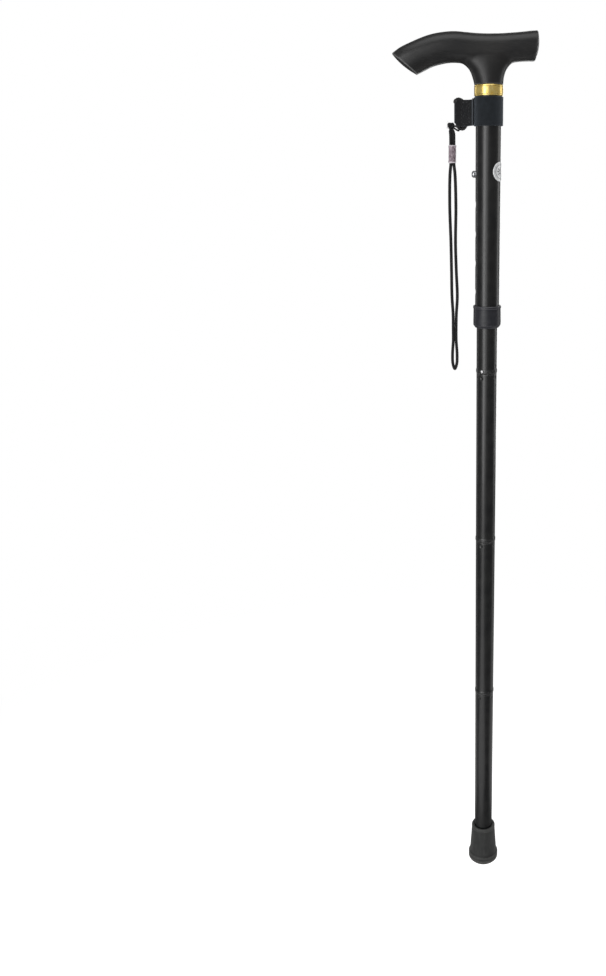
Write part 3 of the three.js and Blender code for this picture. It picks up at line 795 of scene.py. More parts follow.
def add_neck_ring():
    bottom, top, groove = 799.7, 808.3, 1.3         # groove: its distance from either end
    half = [(11.3, 0, 0), (12.1, 0, .2), (12.4, 0.5, .25), (12.4, 1.05, .12),
            (12.18, groove, .12), (12.4, 1.55, .12)]
    outline = mirrored_outline(half, (12.44, 6), bottom, top)
    verts, faces = lathe(round_corners(outline, 4, closed=True), 160)
    z = verts[:, 2]
    # dark: painted shade in the two grooves and on the inner face
    to_groove = np.minimum(np.abs(z - bottom - groove), np.abs(z - top + groove))
    dark = (np.clip(1 - to_groove / 0.16, 0, 1)
            + np.clip((12.12 - radius_of(verts)) / 0.2, 0, 1))
    ring = build("gold_neck_ring", verts, faces, "gold", smooth=50,
                 attrs={"dark": np.clip(dark, 0, 1)})
    place(ring, "head", "gold", "neck_ring")


# ------------------------------------------------------------------ tubes
DIMPLE_STEPS = np.arange(-2.6, 2.61, 0.26)          # extra rows above and below a dimple


def left_of_front(degrees):
    """Angle round Z, measured from the front (-Y) towards the left (-X)."""
    return math.radians(-90 - degrees)


def lathe_dimpled(outline, segments, angles, dimple_z, depth, size, press_min, tone_min, cuts):
    """Turned tube with round marks pressed into its outer wall at one height.

    press_min and tone_min: radii beyond which the mark presses, and beyond which it gets painted
    shade.
    cuts(length): fractions at which the outer wall is divided.
    """
    spots = [left_of_front(a) for a in angles]

    def distance2(spot, angle, radius, z):
        arc = ((angle - spot + math.pi) % (2 * math.pi) - math.pi) * radius
        return arc * arc + (z - dimple_z) ** 2

    def press(angle, radius, z):
        if radius < press_min:
            return 0
        reach = [distance2(spot, angle, radius, z) / (size * size) for spot in spots]
        return -sum(depth * math.exp(-q * 1.6) for q in reach if q < 4)

    points = []
    for i, start in enumerate(outline):
        run = outline[(i + 1) % len(outline)] - start
        if abs(run[1]) > 4 and abs(run[0]) < 0.01 and start[0] > press_min:
            fine = [(dimple_z + step - start[1]) / run[1] for step in DIMPLE_STEPS]
            fractions = {float(t) for t in fine if 0 < t < 1}
            fractions |= {float(t) for t in cuts(abs(run[1]))}
            points += [start + run * t for t in sorted(fractions)]
        else:
            points.append(start)
    verts, faces = lathe(points, segments, shift=press)
    radius, angle = radius_of(verts), np.arctan2(verts[:, 1], verts[:, 0])
    # tone: painted shade in each pressed mark, kept as the dark attribute
    tone = np.zeros(len(verts))
    for spot in spots:
        near = distance2(spot, angle, radius, verts[:, 2]) / (0.75 * size) ** 2
        tone = np.maximum(tone, np.exp(-near))
    return verts, faces, {"dark": np.where(radius > tone_min, tone, 0)}


def leg_outline(top, bottom, mouth):
    """Tube wall; mouth adds the swollen lower rim."""
    r, bore, rim, rim_bore = 9.5, 8.3, 9.95, 8.65
    if not mouth:
        outline = [(bore, top, .15), (r, top, .35), (r, bottom, .2), (bore, bottom, .2)]
        return round_corners(outline, 4, closed=True)
    z = bottom + JOINT_GAP
    outline = [(bore, top, .15), (r, top, .35), (r, z + 4.3, .8), (rim - 0.05, z + 3.1, .9),
               (rim, z + 1.6, 1.2), (rim - 0.1, z + 0.35, .5), (rim - 0.55, z, .3),
               (rim_bore, z, .15), (rim_bore, z + 5, .4), (bore, z + 6, .4)]
    return round_corners(outline, 5, closed=True)


def add_legs():
    a, b, c = JOINTS
    drop = 4.2                                      # dimples below the top of a section
    # columns: name, body, node, top, bottom, dimple height, dimple angles, mouth
    rows = (
        ("telescoping_tube", "telescope", "inner_tube", 755.0, a, a + 7.0, (-62, 150), True),
        ("leg_section_2", "leg_2", "leg_tube_2", a - JOINT_GAP, b, a - drop,
         (34, -58, 160), True),
        ("leg_section_3", "leg_3", "leg_tube_3", b - JOINT_GAP, c, b - drop,
         (30, -60, 160), True),
        ("leg_section_4", "leg_4", "leg_tube_4", c - JOINT_GAP, 8.6, c - drop,
         (36, -54, 160), False))
    for name, body, node, top, bottom, dimple_z, angles, mouth in rows:
        verts, faces, attrs = lathe_dimpled(
            leg_outline(top, bottom, mouth), 128, angles, dimple_z, depth=0.62, size=1.5,
            press_min=9.2, tone_min=8.0, cuts=lambda length: np.arange(0, 1, 6 / length))
        place(build(name, verts, faces, "paint", smooth=42, ridge_tint=0.9, attrs=attrs),
              body, "paint", node)


HOLE_RADIUS = 3.3
HOLE_HEIGHTS = [BUTTON_Z - 25.4 * i for i in range(5)]


def hole_cutter():
    """Plugs along X through the tube's left wall."""
    angle = np.arange(40) / 40 * 2 * math.pi
    plugs = []
    for height in HOLE_HEIGHTS:
        rows = [np.c_[np.full(40, x), HOLE_RADIUS * np.cos(angle),
                      height + HOLE_RADIUS * np.sin(angle)] for x in (-8.2, -10.3, -12.6)]
        plugs.append((*skin(rows), {}))
    verts, faces, _ = merge(plugs)
    return build("tmp_cutter", verts, faces, "paint")


def set_tube_normals(mesh):
    """True cylinder normals on the walls, so the cuts leave no shading marks."""
    mesh.polygons.foreach_set("use_smooth", [True] * len(mesh.polygons))
    normals = [None] * len(mesh.loops)
    for face in mesh.polygons:
        upright = abs(face.normal.z) < 0.2
        for i in face.loop_indices:
            co = mesh.vertices[mesh.loops[i].vertex_index].co
            outward = Vector((co.x, co.y, 0)).normalized()
            facing, radius = face.normal.dot(outward), math.hypot(co.x, co.y)
            if upright and facing > 0.94 and radius > 10.6 * MM:
                normals[i] = outward
            elif upright and facing < -0.94 and radius < 10.2 * MM:
                normals[i] = -outward
            else:
                normals[i] = face.normal.copy()
    mesh.normals_split_custom_set(normals)


def add_upper_tube():
    """Upper tube with its column of setting holes."""
    bore, r, bottom, top = 9.75, 11.0, 606.0, 808.2
    outline = [(bore, bottom, .2), (r, bottom, .3), (r, top, .3), (bore, top, .2)]
    outline = subdivide(round_corners(outline, 4, closed=True), 24, closed=True)
    tube = build("upper_tube_shell", *lathe(outline, 128), "paint")
    cutter = hole_cutter()
    holes = tube.modifiers.new("holes", "BOOLEAN")
    holes.object = cutter
    holes.operation = "DIFFERENCE"
    holes.solver = "EXACT"
    depsgraph = bpy.context.evaluated_depsgraph_get()
    mesh = bpy.data.meshes.new_from_object(tube.evaluated_get(depsgraph))
    tube.modifiers.clear()
    tube.data = mesh
    bpy.data.objects.remove(cutter)
    mesh.materials.clear()
    mesh.materials.append(M["paint"])
    set_tube_normals(mesh)
    edge = np.zeros(len(mesh.vertices))             # worn rims of the holes
    for v in mesh.vertices:
        x, y, z = v.co / MM
        for height in HOLE_HEIGHTS:
            on_rim = abs(math.hypot(y, z - height) - HOLE_RADIUS) < 0.05
            if x < 0 and on_rim and math.hypot(x, y) > 10.8:
                edge[v.index] = 0.6
    add_attr(mesh, "edge", edge)
    add_attr(mesh, "dark", np.zeros(len(mesh.vertices)))
    place(tube, "head", "paint", "upper_tube")


def add_spigots():
    for i, (body, z) in enumerate(zip(("spigot_a", "spigot_b", "spigot_c"), JOINTS), 1):
        r, bore, bottom, top = 8.0, 6.8, z - 52, z + 3.5
        outline = [(bore, bottom, .15), (r, bottom, .3), (r, z + 1.9, 1.0),
                   (7.35, top, .35), (bore, top, .2)]
        verts, faces, attrs = lathe_dimpled(
            round_corners(outline, 6, closed=True), 112, (20, -70), z - 14.0, depth=0.55,
            size=1.4, press_min=7.8, tone_min=7.6, cuts=lambda length: np.linspace(0, 1, 10)[:-1])
        ob = build(f"spigot_sleeve_{i}", verts, faces, "spigot", smooth=42, attrs=attrs)
        worn_tip = np.clip((verts[:, 2] - (z + 1.6)) / 1.2, 0, 1)
        add_attr(ob.data, "edge", np.maximum(convex_ridge_mask(ob.data, 0.7), worn_tip))
        place(ob, body, "spigot", f"spigot_{i}")


def add_collar():
    bottom, top, ledge = 603.6, 623.6, 605.7        # ledge: step inside the bore
    outline = [(9.75, bottom, .2), (10.8, bottom, .5), (12.55, bottom + 2.4, 1.4),
               (12.62, bottom + 6, 4), (12.45, top - 3.6, 2), (12.5, top - 2.7, .3),
               (12.8, top - 2.3, .35), (12.8, top - 0.6, .5), (12.2, top, .4),
               (11.3, top, .2), (11.3, ledge, .1), (9.75, ledge, .1)]

    def ridges(angle, r, z):
        low, high = bottom + 3, top - 3.8
        if r < 12.2 or z > high or z < low:
            return 0
        fade = min(1, (z - low) / 1.5, (high - z) / 1.5)
        return 0.10 * max(0.0, fade) * abs(math.cos(angle * 1.5 + 0.4)) ** 12

    outline = subdivide(round_corners(outline, closed=True), 0.9, closed=True)
    verts, faces = lathe(outline, 144, shift=ridges)
    # the ridge gain here gives the collar's edges a painted highlight
    place(build("collar_sleeve", verts, faces, "collar", smooth=45, ridge_tint=0.8),
          "head", "collar", "lock_collar")


# columns: radius, z, corner radius; from the underside, up the outside and down the bore
FOOT = [
    (0, 1.2, 0), (3.4, 1.2, .3), (3.9, 0.2, .3), (5.6, 0.2, .3), (6.1, 1.2, .3),
    (7.6, 1.2, .3), (8.1, 0.1, .3), (9.8, 0.1, .3), (10.3, 1.2, .3), (11.8, 1.2, .3),
    (12.3, 0.0, .3), (14.4, 0.0, .6), (16.2, 2.0, 2.2), (16.3, 3.6, .2), (15.98, 4.0, .15),
    (16.3, 4.4, .2), (16.32, 8.3, .9), (15.9, 9.2, .5), (14.95, 10.4, .8), (14.6, 14, 8),
    (13.3, 33, 8), (12.95, 39, 3), (12.75, 41.6, .8), (12.95, 42.6, .5), (12.9, 44.2, .7),
    (12.2, 45.4, .6), (10.4, 45.5, .5), (9.8, 44.6, .4), (9.8, 7.0, .5), (0, 7.0, 0)]


def add_foot():
    verts, faces = lathe(subdivide(round_corners(FOOT), 1.2), 144, closed=False)
    r, z = radius_of(verts), verts[:, 2]
    # dark: painted shade in the side groove, down the bore and in the step above the flange
    groove = np.clip(1 - np.abs(z - 4.0) / 0.35, 0, 1) * (r > 15.5)
    bore = np.clip((10.9 - r) / 0.8, 0, 1) * (z > 30)
    shoulder = 0.55 * np.exp(-((z - 10.9) / 0.7) ** 2) * (r > 13)
    dark = np.clip(groove + bore + shoulder, 0, 1)
    place(build("rubber_foot", verts, faces, "rubber", smooth=50, ridge_tint=0.8,
                attrs={"dark": dark}), "leg_4", "rubber", "rubber_tip")


# ------------------------------------------------------------------ button, rivet, label
def add_button():
    """Pin along X; its domed face is the left end."""
    face_x, groove = -14.4, 2.55
    # columns: radius, distance behind the face, corner radius
    outline = [(0, 0, 0), (1.15, 0.02, 2), (2.0, 0.28, 1.5), (2.55, 0.85, 1), (2.86, 1.7, .6),
               (2.9, 2.3, .2), (2.72, groove, .1), (2.9, 2.8, .2), (2.9, 7.7, .2), (0, 7.7, 0)]
    V, faces = lathe(round_corners(outline, 4), 64, closed=False)
    verts = np.c_[face_x + V[:, 2], V[:, 0], BUTTON_Z + V[:, 1]]
    # dark: painted shade in the groove
    dark = np.exp(-((verts[:, 0] - (face_x + groove)) / 0.2) ** 2)
    place(build("snap_button_pin", verts, faces, "steel", smooth=45, attrs={"dark": dark}),
          "button", "steel", "snap_button")


# one side of the leaf's section: offset as a share of half thickness, y
LEAF_FACE = [(1, -3.1), (1, -1.5), (1, 0), (1, 1.5), (1, 3.1), (0.7, 3.4)]
LEAF_SECTION = (LEAF_FACE + [(0, 3.5)] + [(-a, -y) for a, y in ()]
                + [(-a, y) for a, y in LEAF_FACE[::-1]] + [(-0.7, -3.4), (0, -3.5), (0.7, -3.4)])
LEAF_HALF_THICKNESS = 0.33
LEAF_BOTTOM, LEAF_TOP = 715.0, 744.0


def leaf(name, line):
    """Spring strip 7 mm wide following (x, z) points, its long edges rounded."""
    P, dist = resample(catmull([(x, 0, z) for x, z in line], 12), 0.35)
    T = tangents(P)
    normals = np.c_[T[:, 2], np.zeros(len(T)), -T[:, 0]]
    to_end = np.clip((dist[-1] - dist) / 1.6, 0, 1)
    narrow = np.sqrt(1 - (1 - to_end) ** 2) * 0.85 + 0.15       # rounded tongue at the top end
    offset = np.array([a * LEAF_HALF_THICKNESS for a, _ in LEAF_SECTION])
    across = np.array([y for _, y in LEAF_SECTION])
    rows = [P[i] + np.outer(offset, normals[i]) + np.outer(across * narrow[i], (0, 1, 0))
            for i in range(len(P))]
    return build(name, *skin(rows), "steel", smooth=50, ridge_tint=0.6)


def add_button_spring():
    """Two leaves joined at the bottom; the left one stands behind the button."""
    z0, z1 = LEAF_BOTTOM, LEAF_TOP
    press = leaf("button_spring_front_leaf", [
        (0.4, z0 + .35), (-0.6, z0 + .36), (-1.8, z0 + .75), (-3.4, z0 + 2.2),
        (-4.9, z0 + 4.6), (-5.5, z0 + 7.5), (-5.7, z0 + 14), (-5.75, z1 - 3), (-5.6, z1)])
    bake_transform(press)
    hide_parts("snap_spring")
    back = leaf("button_spring_back_leaf", [
        (-0.4, z0 + .35), (0.6, z0 + .36), (1.8, z0 + .75), (3.8, z0 + 2.2),
        (5.7, z0 + 4.6), (6.45, z0 + 7.5), (6.72, z0 + 14), (6.75, z1 - 3), (6.6, z1)])
    place(back, "telescope", "steel")


def add_rivet():
    """Low dome on the lowest telescoping joint, 30 degrees left of the front."""
    outline = [(0, 0.92, 0), (0.6, 0.90, 1), (1.15, 0.74, .6), (1.5, 0.44, .4),
               (1.6, 0.1, .1), (1.6, 0.0, .05), (0, 0.0, 0)]
    V, faces = lathe(round_corners(outline, 4), 40, closed=False)
    turn = math.radians(30)
    outward = np.array([-math.sin(turn), -math.cos(turn)])
    sideways = np.array([-math.cos(turn), math.sin(turn)])
    level = np.outer(10.12 + V[:, 2], outward) + np.outer(V[:, 0], sideways)
    verts = np.c_[level, 563.4 + V[:, 1]]
    place(build("joint_rivet_head", verts, faces, "rivet", smooth=45),
          "telescope", "steel", "mouth_rivet")


LABEL_TURN, LABEL_Z, LABEL_RADIUS = -math.radians(29), 739, 8.1     # on the front right
LABEL_RINGS, LABEL_SIDES = 44, 120


def label_height(q):
    """Distance of the label's face from the Z axis, at q from its own centre."""
    height = 11.45
    height += 0.16 * math.exp(-((q - 7.5) / 0.4) ** 2)           # raised border
    height += 0.07 * math.exp(-((q - 5.6) / 0.22) ** 2)          # thin inner ring
    height += 0.10 / (1 + math.exp((q - 3.1) / 0.12))            # raised boss in the middle
    if q > 7.85:
        height -= (q - 7.85) * 0.5                               # falling rim
    return height


def label_tone(q, angle):
    """Two dark rings and a plain eight-petal rosette."""
    petal = 0.5 + 0.5 * math.cos(8 * angle)
    tone = math.exp(-((q - 5.6) / 0.35) ** 2) * 0.8
    tone += 1.0 if 1.0 < q < 1.2 + 2.6 * petal else 0.0
    tone += 0.5 * math.exp(-((q - 6.8) / 0.18) ** 2)
    return min(1, tone)


def add_label():
    """Disc bent round the upper tube: outer face, then inner face."""
    inner = 11.13
    verts, tone = [], []
    for centre, outer in ((11.47, True), (inner, False)):
        verts.append((centre * math.cos(LABEL_TURN), centre * math.sin(LABEL_TURN), LABEL_Z))
        tone.append(0)
        for k in range(1, LABEL_RINGS + 1):
            q = LABEL_RADIUS * k / LABEL_RINGS
            height = label_height(q) if outer else inner
            for j in range(LABEL_SIDES):
                b = j / LABEL_SIDES * 2 * math.pi
                turn = LABEL_TURN + q * math.cos(b) / 11.0
                verts.append((height * math.cos(turn), height * math.sin(turn),
                              LABEL_Z + q * math.sin(b)))
                tone.append(label_tone(q, b) if outer else 0)
    faces = []
    side_count = 1 + LABEL_RINGS * LABEL_SIDES
    for centre in (0, side_count):
        base = centre + 1
        for j in range(LABEL_SIDES):
            faces.append([centre, base + j, base + (j + 1) % LABEL_SIDES])
        for k in range(LABEL_RINGS - 1):
            p = base + k * LABEL_SIDES
            q = p + LABEL_SIDES
            for j in range(LABEL_SIDES):
                n = (j + 1) % LABEL_SIDES
                faces.append([p + j, q + j, q + n, p + n])
    rim = 1 + (LABEL_RINGS - 1) * LABEL_SIDES
    for j in range(LABEL_SIDES):
        n = (j + 1) % LABEL_SIDES
        faces.append([rim + j, rim + side_count + j, rim + side_count + n, rim + n])
    place(build("round_label_disc", verts, faces, "label", smooth=60, attrs={"tone": tone}),
          "head", "label", "round_label")


# ------------------------------------------------------------------ strap
def tab_space(out, side, z):
    """Points from the strap tab's own directions; arguments are scalars or arrays."""
    return np.c_[np.outer(out, TAB_OUT) + np.outer(side, TAB_SIDE), np.ravel(z)]


def add_strap_sleeve():
    """Webbing band round the upper tube."""
    z0, z1 = 776.0, 799.0
    outline = [(11.36, z0 + 0.3), (11.7, z0 + 0.02), (12.2, z0 + 0.02), (12.45, z0 + 0.25)]
    outline += [(12.5, z) for z in np.arange(z0 + 0.5, z1 - 0.49, 0.2)]
    outline += [(12.45, z1 - 0.25), (12.2, z1 - 0.02), (11.7, z1 - 0.02), (11.36, z1 - 0.3)]
    verts, faces = lathe(outline, 360)
    r, angle, z = radius_of(verts), np.arctan2(verts[:, 1], verts[:, 0]), verts[:, 2]
    outside = r > 12.4
    woven = weave(angle * 12.6, z, along_pitch=1.35, across_pitch=0.95)
    from_edge = np.clip(np.minimum(z - z0, z1 - z) / 0.9, 0, 1)
    wave = 0.05 * np.sin(angle * 3 + 1.0) * np.sin((z - z0) / 23 * 6)
    raised = np.where(outside, 0.13 * woven - 0.03 + wave + 0.05 * (1 - from_edge), 0)
    verts[:, :2] *= ((r + raised) / r)[:, None]
    attrs = {"thread": np.where(outside, woven, 0.3)}
    place(build_woven("strap_webbing_sleeve", (verts, faces, attrs), "webbing"),
          "strap", "webbing", "strap_sleeve")


# one side of the tab's middle line seen from above: out, side
TAB_HALF = [(13.42 * math.cos(math.radians(p)), 13.42 * math.sin(math.radians(p)))
            for p in (52, 45, 38, 31)]
TAB_HALF += [
    (12.9, 4.4), (14.6, 2.35), (16.6, 1.35), (19.0, 1.08), (24.0, 1.08), (27.6, 1.12),
    (29.6, 1.75), (31.4, 2.45), (33.0, 2.55), (34.4, 1.9), (35.0, 0.9), (35.1, 0.0)]


def add_strap_tab():
    """Webbing folded into a flat tab with a small loop at its outer end."""
    z0, z1, thickness = 776.9, 798.1, 1.35
    line = [(u, v, 0) for u, v in TAB_HALF] + [(u, -v, 0) for u, v in TAB_HALF[-2::-1]]
    path, dist = resample(catmull(line, 16), 0.33)
    T = tangents(path)
    outward = np.c_[T[:, 1], -T[:, 0]]
    # strip section: one edge, one face, the other edge, the other face
    face_z = list(np.arange(z0 + 0.5, z1 - 0.49, 0.21))
    ring_z = np.array([z0 + 0.25, z0, z0, z0 + 0.25] + face_z
                      + [z1 - 0.25, z1, z1, z1 - 0.25] + face_z[::-1])
    shares = np.array([-0.5, -0.32, 0.32, 0.5] + [0.5] * len(face_z)
                      + [0.5, 0.32, -0.32, -0.5] + [-0.5] * len(face_z))
    S, Z = np.meshgrid(dist, ring_z, indexing="ij")
    woven = weave(S, Z, along_pitch=1.3, across_pitch=1.0)
    relief = np.where(np.abs(shares) > 0.45, np.sign(shares) * 0.11 * (woven - 0.4), 0)
    offset = shares * thickness + relief
    ends = np.clip(np.minimum(S, dist[-1] - S) / 1.2, 0.25, 1)      # both ends thin out
    offset = offset * ends - (1 - ends) * 0.35 * thickness
    flat = path[:, None, :2] + offset[..., None] * outward[:, None]
    # the outer end draws in where the cord pulls
    pinch = 1 - 0.27 * np.exp(-((S - dist[-1] / 2) / 4.6) ** 4)
    middle = (z0 + z1) / 2
    wobble = 0.16 * np.sin(S * 0.33 + 0.6) * ((Z - middle) / 11)
    verts = tab_space(flat[..., 0], flat[..., 1], middle + (Z - middle) * pinch + wobble)
    attrs = {"thread": np.clip(woven, 0, 1).reshape(-1)}
    tab = build_woven("strap_tab_webbing", (verts, capped_faces(*Z.shape), attrs), "tab")
    place(tab, "strap", "webbing", "strap_tab")


# seams on each face of the tab: start (out, z), end (out, z)
SEAMS = [
    ((18.2, 778.6), (18.2, 796.4)), ((19.4, 778.6), (19.4, 796.4)),
    ((27.4, 778.6), (27.4, 796.4)), ((19.6, 778.9), (27.2, 778.9)),
    ((19.6, 796.1), (27.2, 796.1)), ((20.2, 780.4), (26.6, 794.6)),
    ((26.6, 780.4), (20.2, 794.6))]


def stitch(start, end, face):
    t = np.linspace(0, 1, 7)
    out, z = (start + (end - start) * t[:, None]).T
    side = face + math.copysign(1, face) * (0.22 * np.sin(math.pi * t) - 0.10)

    def twisted(S, A):
        strand = np.cos(3 * A + 6 * S)
        return 0.24 + 0.03 * strand, 0.5 + 0.5 * strand
    return sweep(tab_space(out, side, z), 0.25, 8, twisted)


def seam(start, end, face, length=2.1, gap=0.7):
    start, end = np.array(start), np.array(end)
    total = np.linalg.norm(end - start)
    along = (end - start) / total
    count = int(total // (length + gap))
    margin = (total - count * (length + gap) + gap) / 2
    stitches = []
    for i in range(count):
        p = start + along * (margin + i * (length + gap))
        jitter = rng.normal(0, 0.06, 2)
        stitches.append(stitch(p + jitter, p + along * length - jitter, face))
    return stitches


def add_stitching():
    parts = []
    for face in (1.86, -1.86):
        for start, end in SEAMS:
            parts += seam(start, end, face)
    place(build_woven("strap_tab_stitching", merge(parts), "stitch"), "strap", "webbing")


# columns: out, side, z; from one face of the tab, over its end, back to that face
RETENTION_LINE = np.array([
    (26.3, 3.8, 789.5), (27.6, 3.9, 793.8), (30.8, 3.8, 797.6), (34.4, 2.6, 798.9),
    (36.2, 1.0, 797.5), (34.9, 0.1, 796.6), (33.0, 0, 794.8), (32.6, 0, 791.5),
    (32.5, 0, 787.5), (32.6, 0, 782.5), (32.6, 0, 779.2), (33.2, 0.4, 777.5),
    (32.4, 2.2, 775.9), (29.8, 3.7, 775.3), (27.2, 4.0, 777.6), (26.2, 3.85, 781.5)])


def add_retention_elastic():
    cord = sweep(catmull(tab_space(*RETENTION_LINE.T), 20), 0.13, 28,
                 ribbed(radius=1.82, depth=0.24, pitch=1.45))
    place(build_woven("retention_elastic", cord, "elastic"),
          "strap", "elastic", "retention_cord")


# ------------------------------------------------------------------ wrist lanyard
def add_knot():
    t = np.linspace(0, 2 * math.pi, 260)
    trefoil = np.c_[(np.sin(t) + 2 * np.sin(2 * t)) * 0.78, -np.sin(3 * t) * 1.15,
                    (np.cos(t) - 2 * np.cos(2 * t)) * 0.86]
    parts = [sweep(trefoil + KNOT, 0.3, 16, braid(radius=1.15, depth=0.14, carriers=3, pitch=6.0))]
    for _ in range(46):                             # short loose fibres
        direction = rng.normal(size=3)
        direction /= np.linalg.norm(direction)
        length = 0.9 + 1.2 * rng.random()
        bend = rng.normal(0, 0.45, 3)
        path = np.array([KNOT + direction * (2.5 + length * s) + bend * s * s
                         for s in np.linspace(0, 1, 5)])
        parts.append(sweep(path, 0.35, 5, lambda S, A: (0.07 + 0 * S, 0.5 + 0 * S)))
    place(build_woven("lanyard_overhand_knot", merge(parts), "cord"),
          "strap", "lanyard", "lanyard_knot")


def add_link():
    """From the knot once round the elastic, close under the tab."""
    centre, radius = (32.4, 2.2, 775.9), 2.75       # in tab space: out, side, z
    angle = np.radians(range(95, 321, 45))
    circle = centre + radius * (np.outer(np.cos(angle), (0.56, 0, -0.83))
                                + np.outer(np.sin(angle), (0.515, 0.772, 0.347)))
    line = np.vstack([KNOT + (0.9, -0.2, 0.3), tab_space(*circle.T), KNOT + (0.6, -0.7, -0.3)])
    cord = sweep(catmull(line, 16), 0.22, 16, braid(radius=0.8, depth=0.12, carriers=3, pitch=5.0))
    place(build_woven("lanyard_link_loop", cord, "cord"), "strap", "lanyard")


# x, y and z before the LANYARD offset
TAIL_LINE = [
    (-31.15, 0, FERRULE_TOP - 5.4), (-31.1, 0, 767.6), (-31.2, 0, 770.6), (-32.0, 0.2, 773.4),
    (-33.2, 0.5, 774.6), (-34.1, 0.2, 773.2), (-33.9, 0, 770.4), (-33.85, 0, 767.6),
    (-33.85, 0, FERRULE_TOP - 5.4)]
LOOP_LINE = [
    (-33.8, 0, FERRULE_BOTTOM + 5.2), (-33.85, 0, FERRULE_BOTTOM - 0.6), (-34.7, 0, 737.0),
    (-35.1, 0, 710.0), (-34.2, 0, 678.0), (-33.8, 0, 653.0), (-33.5, 0, 629.0),
    (-32.6, -0.3, 613.0), (-32.5, -0.4, 600.0), (-32.5, -0.3, 588.0), (-33.3, 0, 574.0),
    (-32.9, 0, 565.0), (-31.1, 0, 560.4), (-29.3, 0, 565.0), (-28.9, 0, 574.0),
    (-29.7, 0.3, 588.0), (-29.7, 0.4, 600.0), (-29.4, 0.3, 613.0), (-28.5, 0, 629.0),
    (-29.4, 0, 653.0), (-30.0, 0, 678.0), (-29.5, 0, 710.0), (-30.2, 0, 737.0),
    (-31.15, 0, FERRULE_BOTTOM - 0.6), (-31.2, 0, FERRULE_BOTTOM + 5.2)]


def add_lanyard_cords():
    tail = sweep(catmull(TAIL_LINE + LANYARD, 20), 0.2, 20, LANYARD_BRAID)
    place(build_woven("lanyard_doubled_tail", tail, "cord"),
          "strap", "lanyard", "lanyard_tail")
    loop = sweep(catmull(LOOP_LINE + LANYARD, 30), 0.34, 16, LANYARD_BRAID)
    place(build_woven("lanyard_wrist_loop", loop, "cord"),
          "strap", "lanyard", "lanyard_loop")


def add_ferrule():
    """Fluted bead round both cords, leaning slightly."""
    low, high = FERRULE_BOTTOM, FERRULE_TOP
    half = [(2.95, 0, .1), (3.35, 0, .3), (3.62, 0.7, .3), (3.55, 1.5, .4), (3.22, 2.3, .6)]
    outline = round_corners(mirrored_outline(half, (3.3, 4), low, high), 4, closed=True)

    def flutes(angle, r, z):
        return 0.10 * math.cos(10 * angle) if r > 3.1 and low + 1.8 < z < high - 1.8 else 0

    verts, faces = lathe(subdivide(outline, 0.35, closed=True), 96, shift=flutes)
    z = verts[:, 2]
    verts[:, 0] += LANYARD[0] - 32.5 + (z - (low + high) / 2) * 0.02
    verts[:, 1] += LANYARD[1]
    ferrule = build("lanyard_ferrule_bead", verts, faces, "ferrule", smooth=60)
    pale_ends = np.clip(1 - np.minimum(z - low, high - z) / 1.5, 0, 1) ** 1.3
    add_attr(ferrule.data, "edge", pale_ends)
    place(ferrule, "strap", "ferrule", "lanyard_ferrule")


# ------------------------------------------------------------------ shock cord
def add_shock_cord():
    """Elastic inside the leg: a straight run in each section and a piece at each joint."""
    cord_x = (-4.0, 4.0, -4.0)                      # at each joint
    bend_half, gap, blend_half = 12.0, 0.3, 7.5     # heights either side of a joint
    section = ribbed(radius=2.2, depth=0.2, pitch=2.2)
    xs = (cord_x[0], *cord_x, cord_x[-1])
    tops = (699, *(z - bend_half - gap for z in JOINTS))
    bottoms = (*(z + bend_half + gap for z in JOINTS), 31)
    run_x = ((xs[0], xs[1]), (xs[1], xs[2]), (xs[2], xs[3]), (xs[3], xs[4]))
    bodies = ("telescope", "leg_2", "leg_3", "leg_4")
    for i, (body, top, bottom, (xa, xb)) in enumerate(zip(bodies, tops, bottoms, run_x), 1):
        path = np.array([[xa, 0, top], [(xa + xb) / 2, 0, (top + bottom) / 2],
                         [xb, 0, bottom]], float)
        node = f"shock_cord_{i}"
        place(build_woven(f"elastic_{node}", sweep(path, 0.55, 14, section), "elastic"),
              body, "elastic", node)
    spigots = ("spigot_a", "spigot_b", "spigot_c")
    for i, (upper, lower, x, z) in enumerate(zip(bodies, spigots, cord_x, JOINTS), 1):
        path = np.array([[x, 0, z + bend_half], [x, 0, z], [x, 0, z - bend_half]])
        ob = build_woven(f"elastic_bend_{i}", sweep(path, 0.3, 20, section), "elastic")
        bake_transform(ob)
        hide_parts(f"cord_bend_{i}")


def dress_cad_nodes():
    """Materials for the CAD pieces that stay as they are."""
    for node, material in (("handle_pin", "steel"), ("cord_anchor_top", "nylon"),
                           ("cord_anchor_tip", "nylon"), ("tip_washer", "steel")):
        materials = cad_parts[node].data.materials
        materials.clear()
        materials.append(M[material])


# ------------------------------------------------------------------ floor and world
def mix_shader(tree, amount, first, second):
    return add_node(tree, "ShaderNodeMixShader", {0: amount, 1: first, 2: second}).outputs[0]


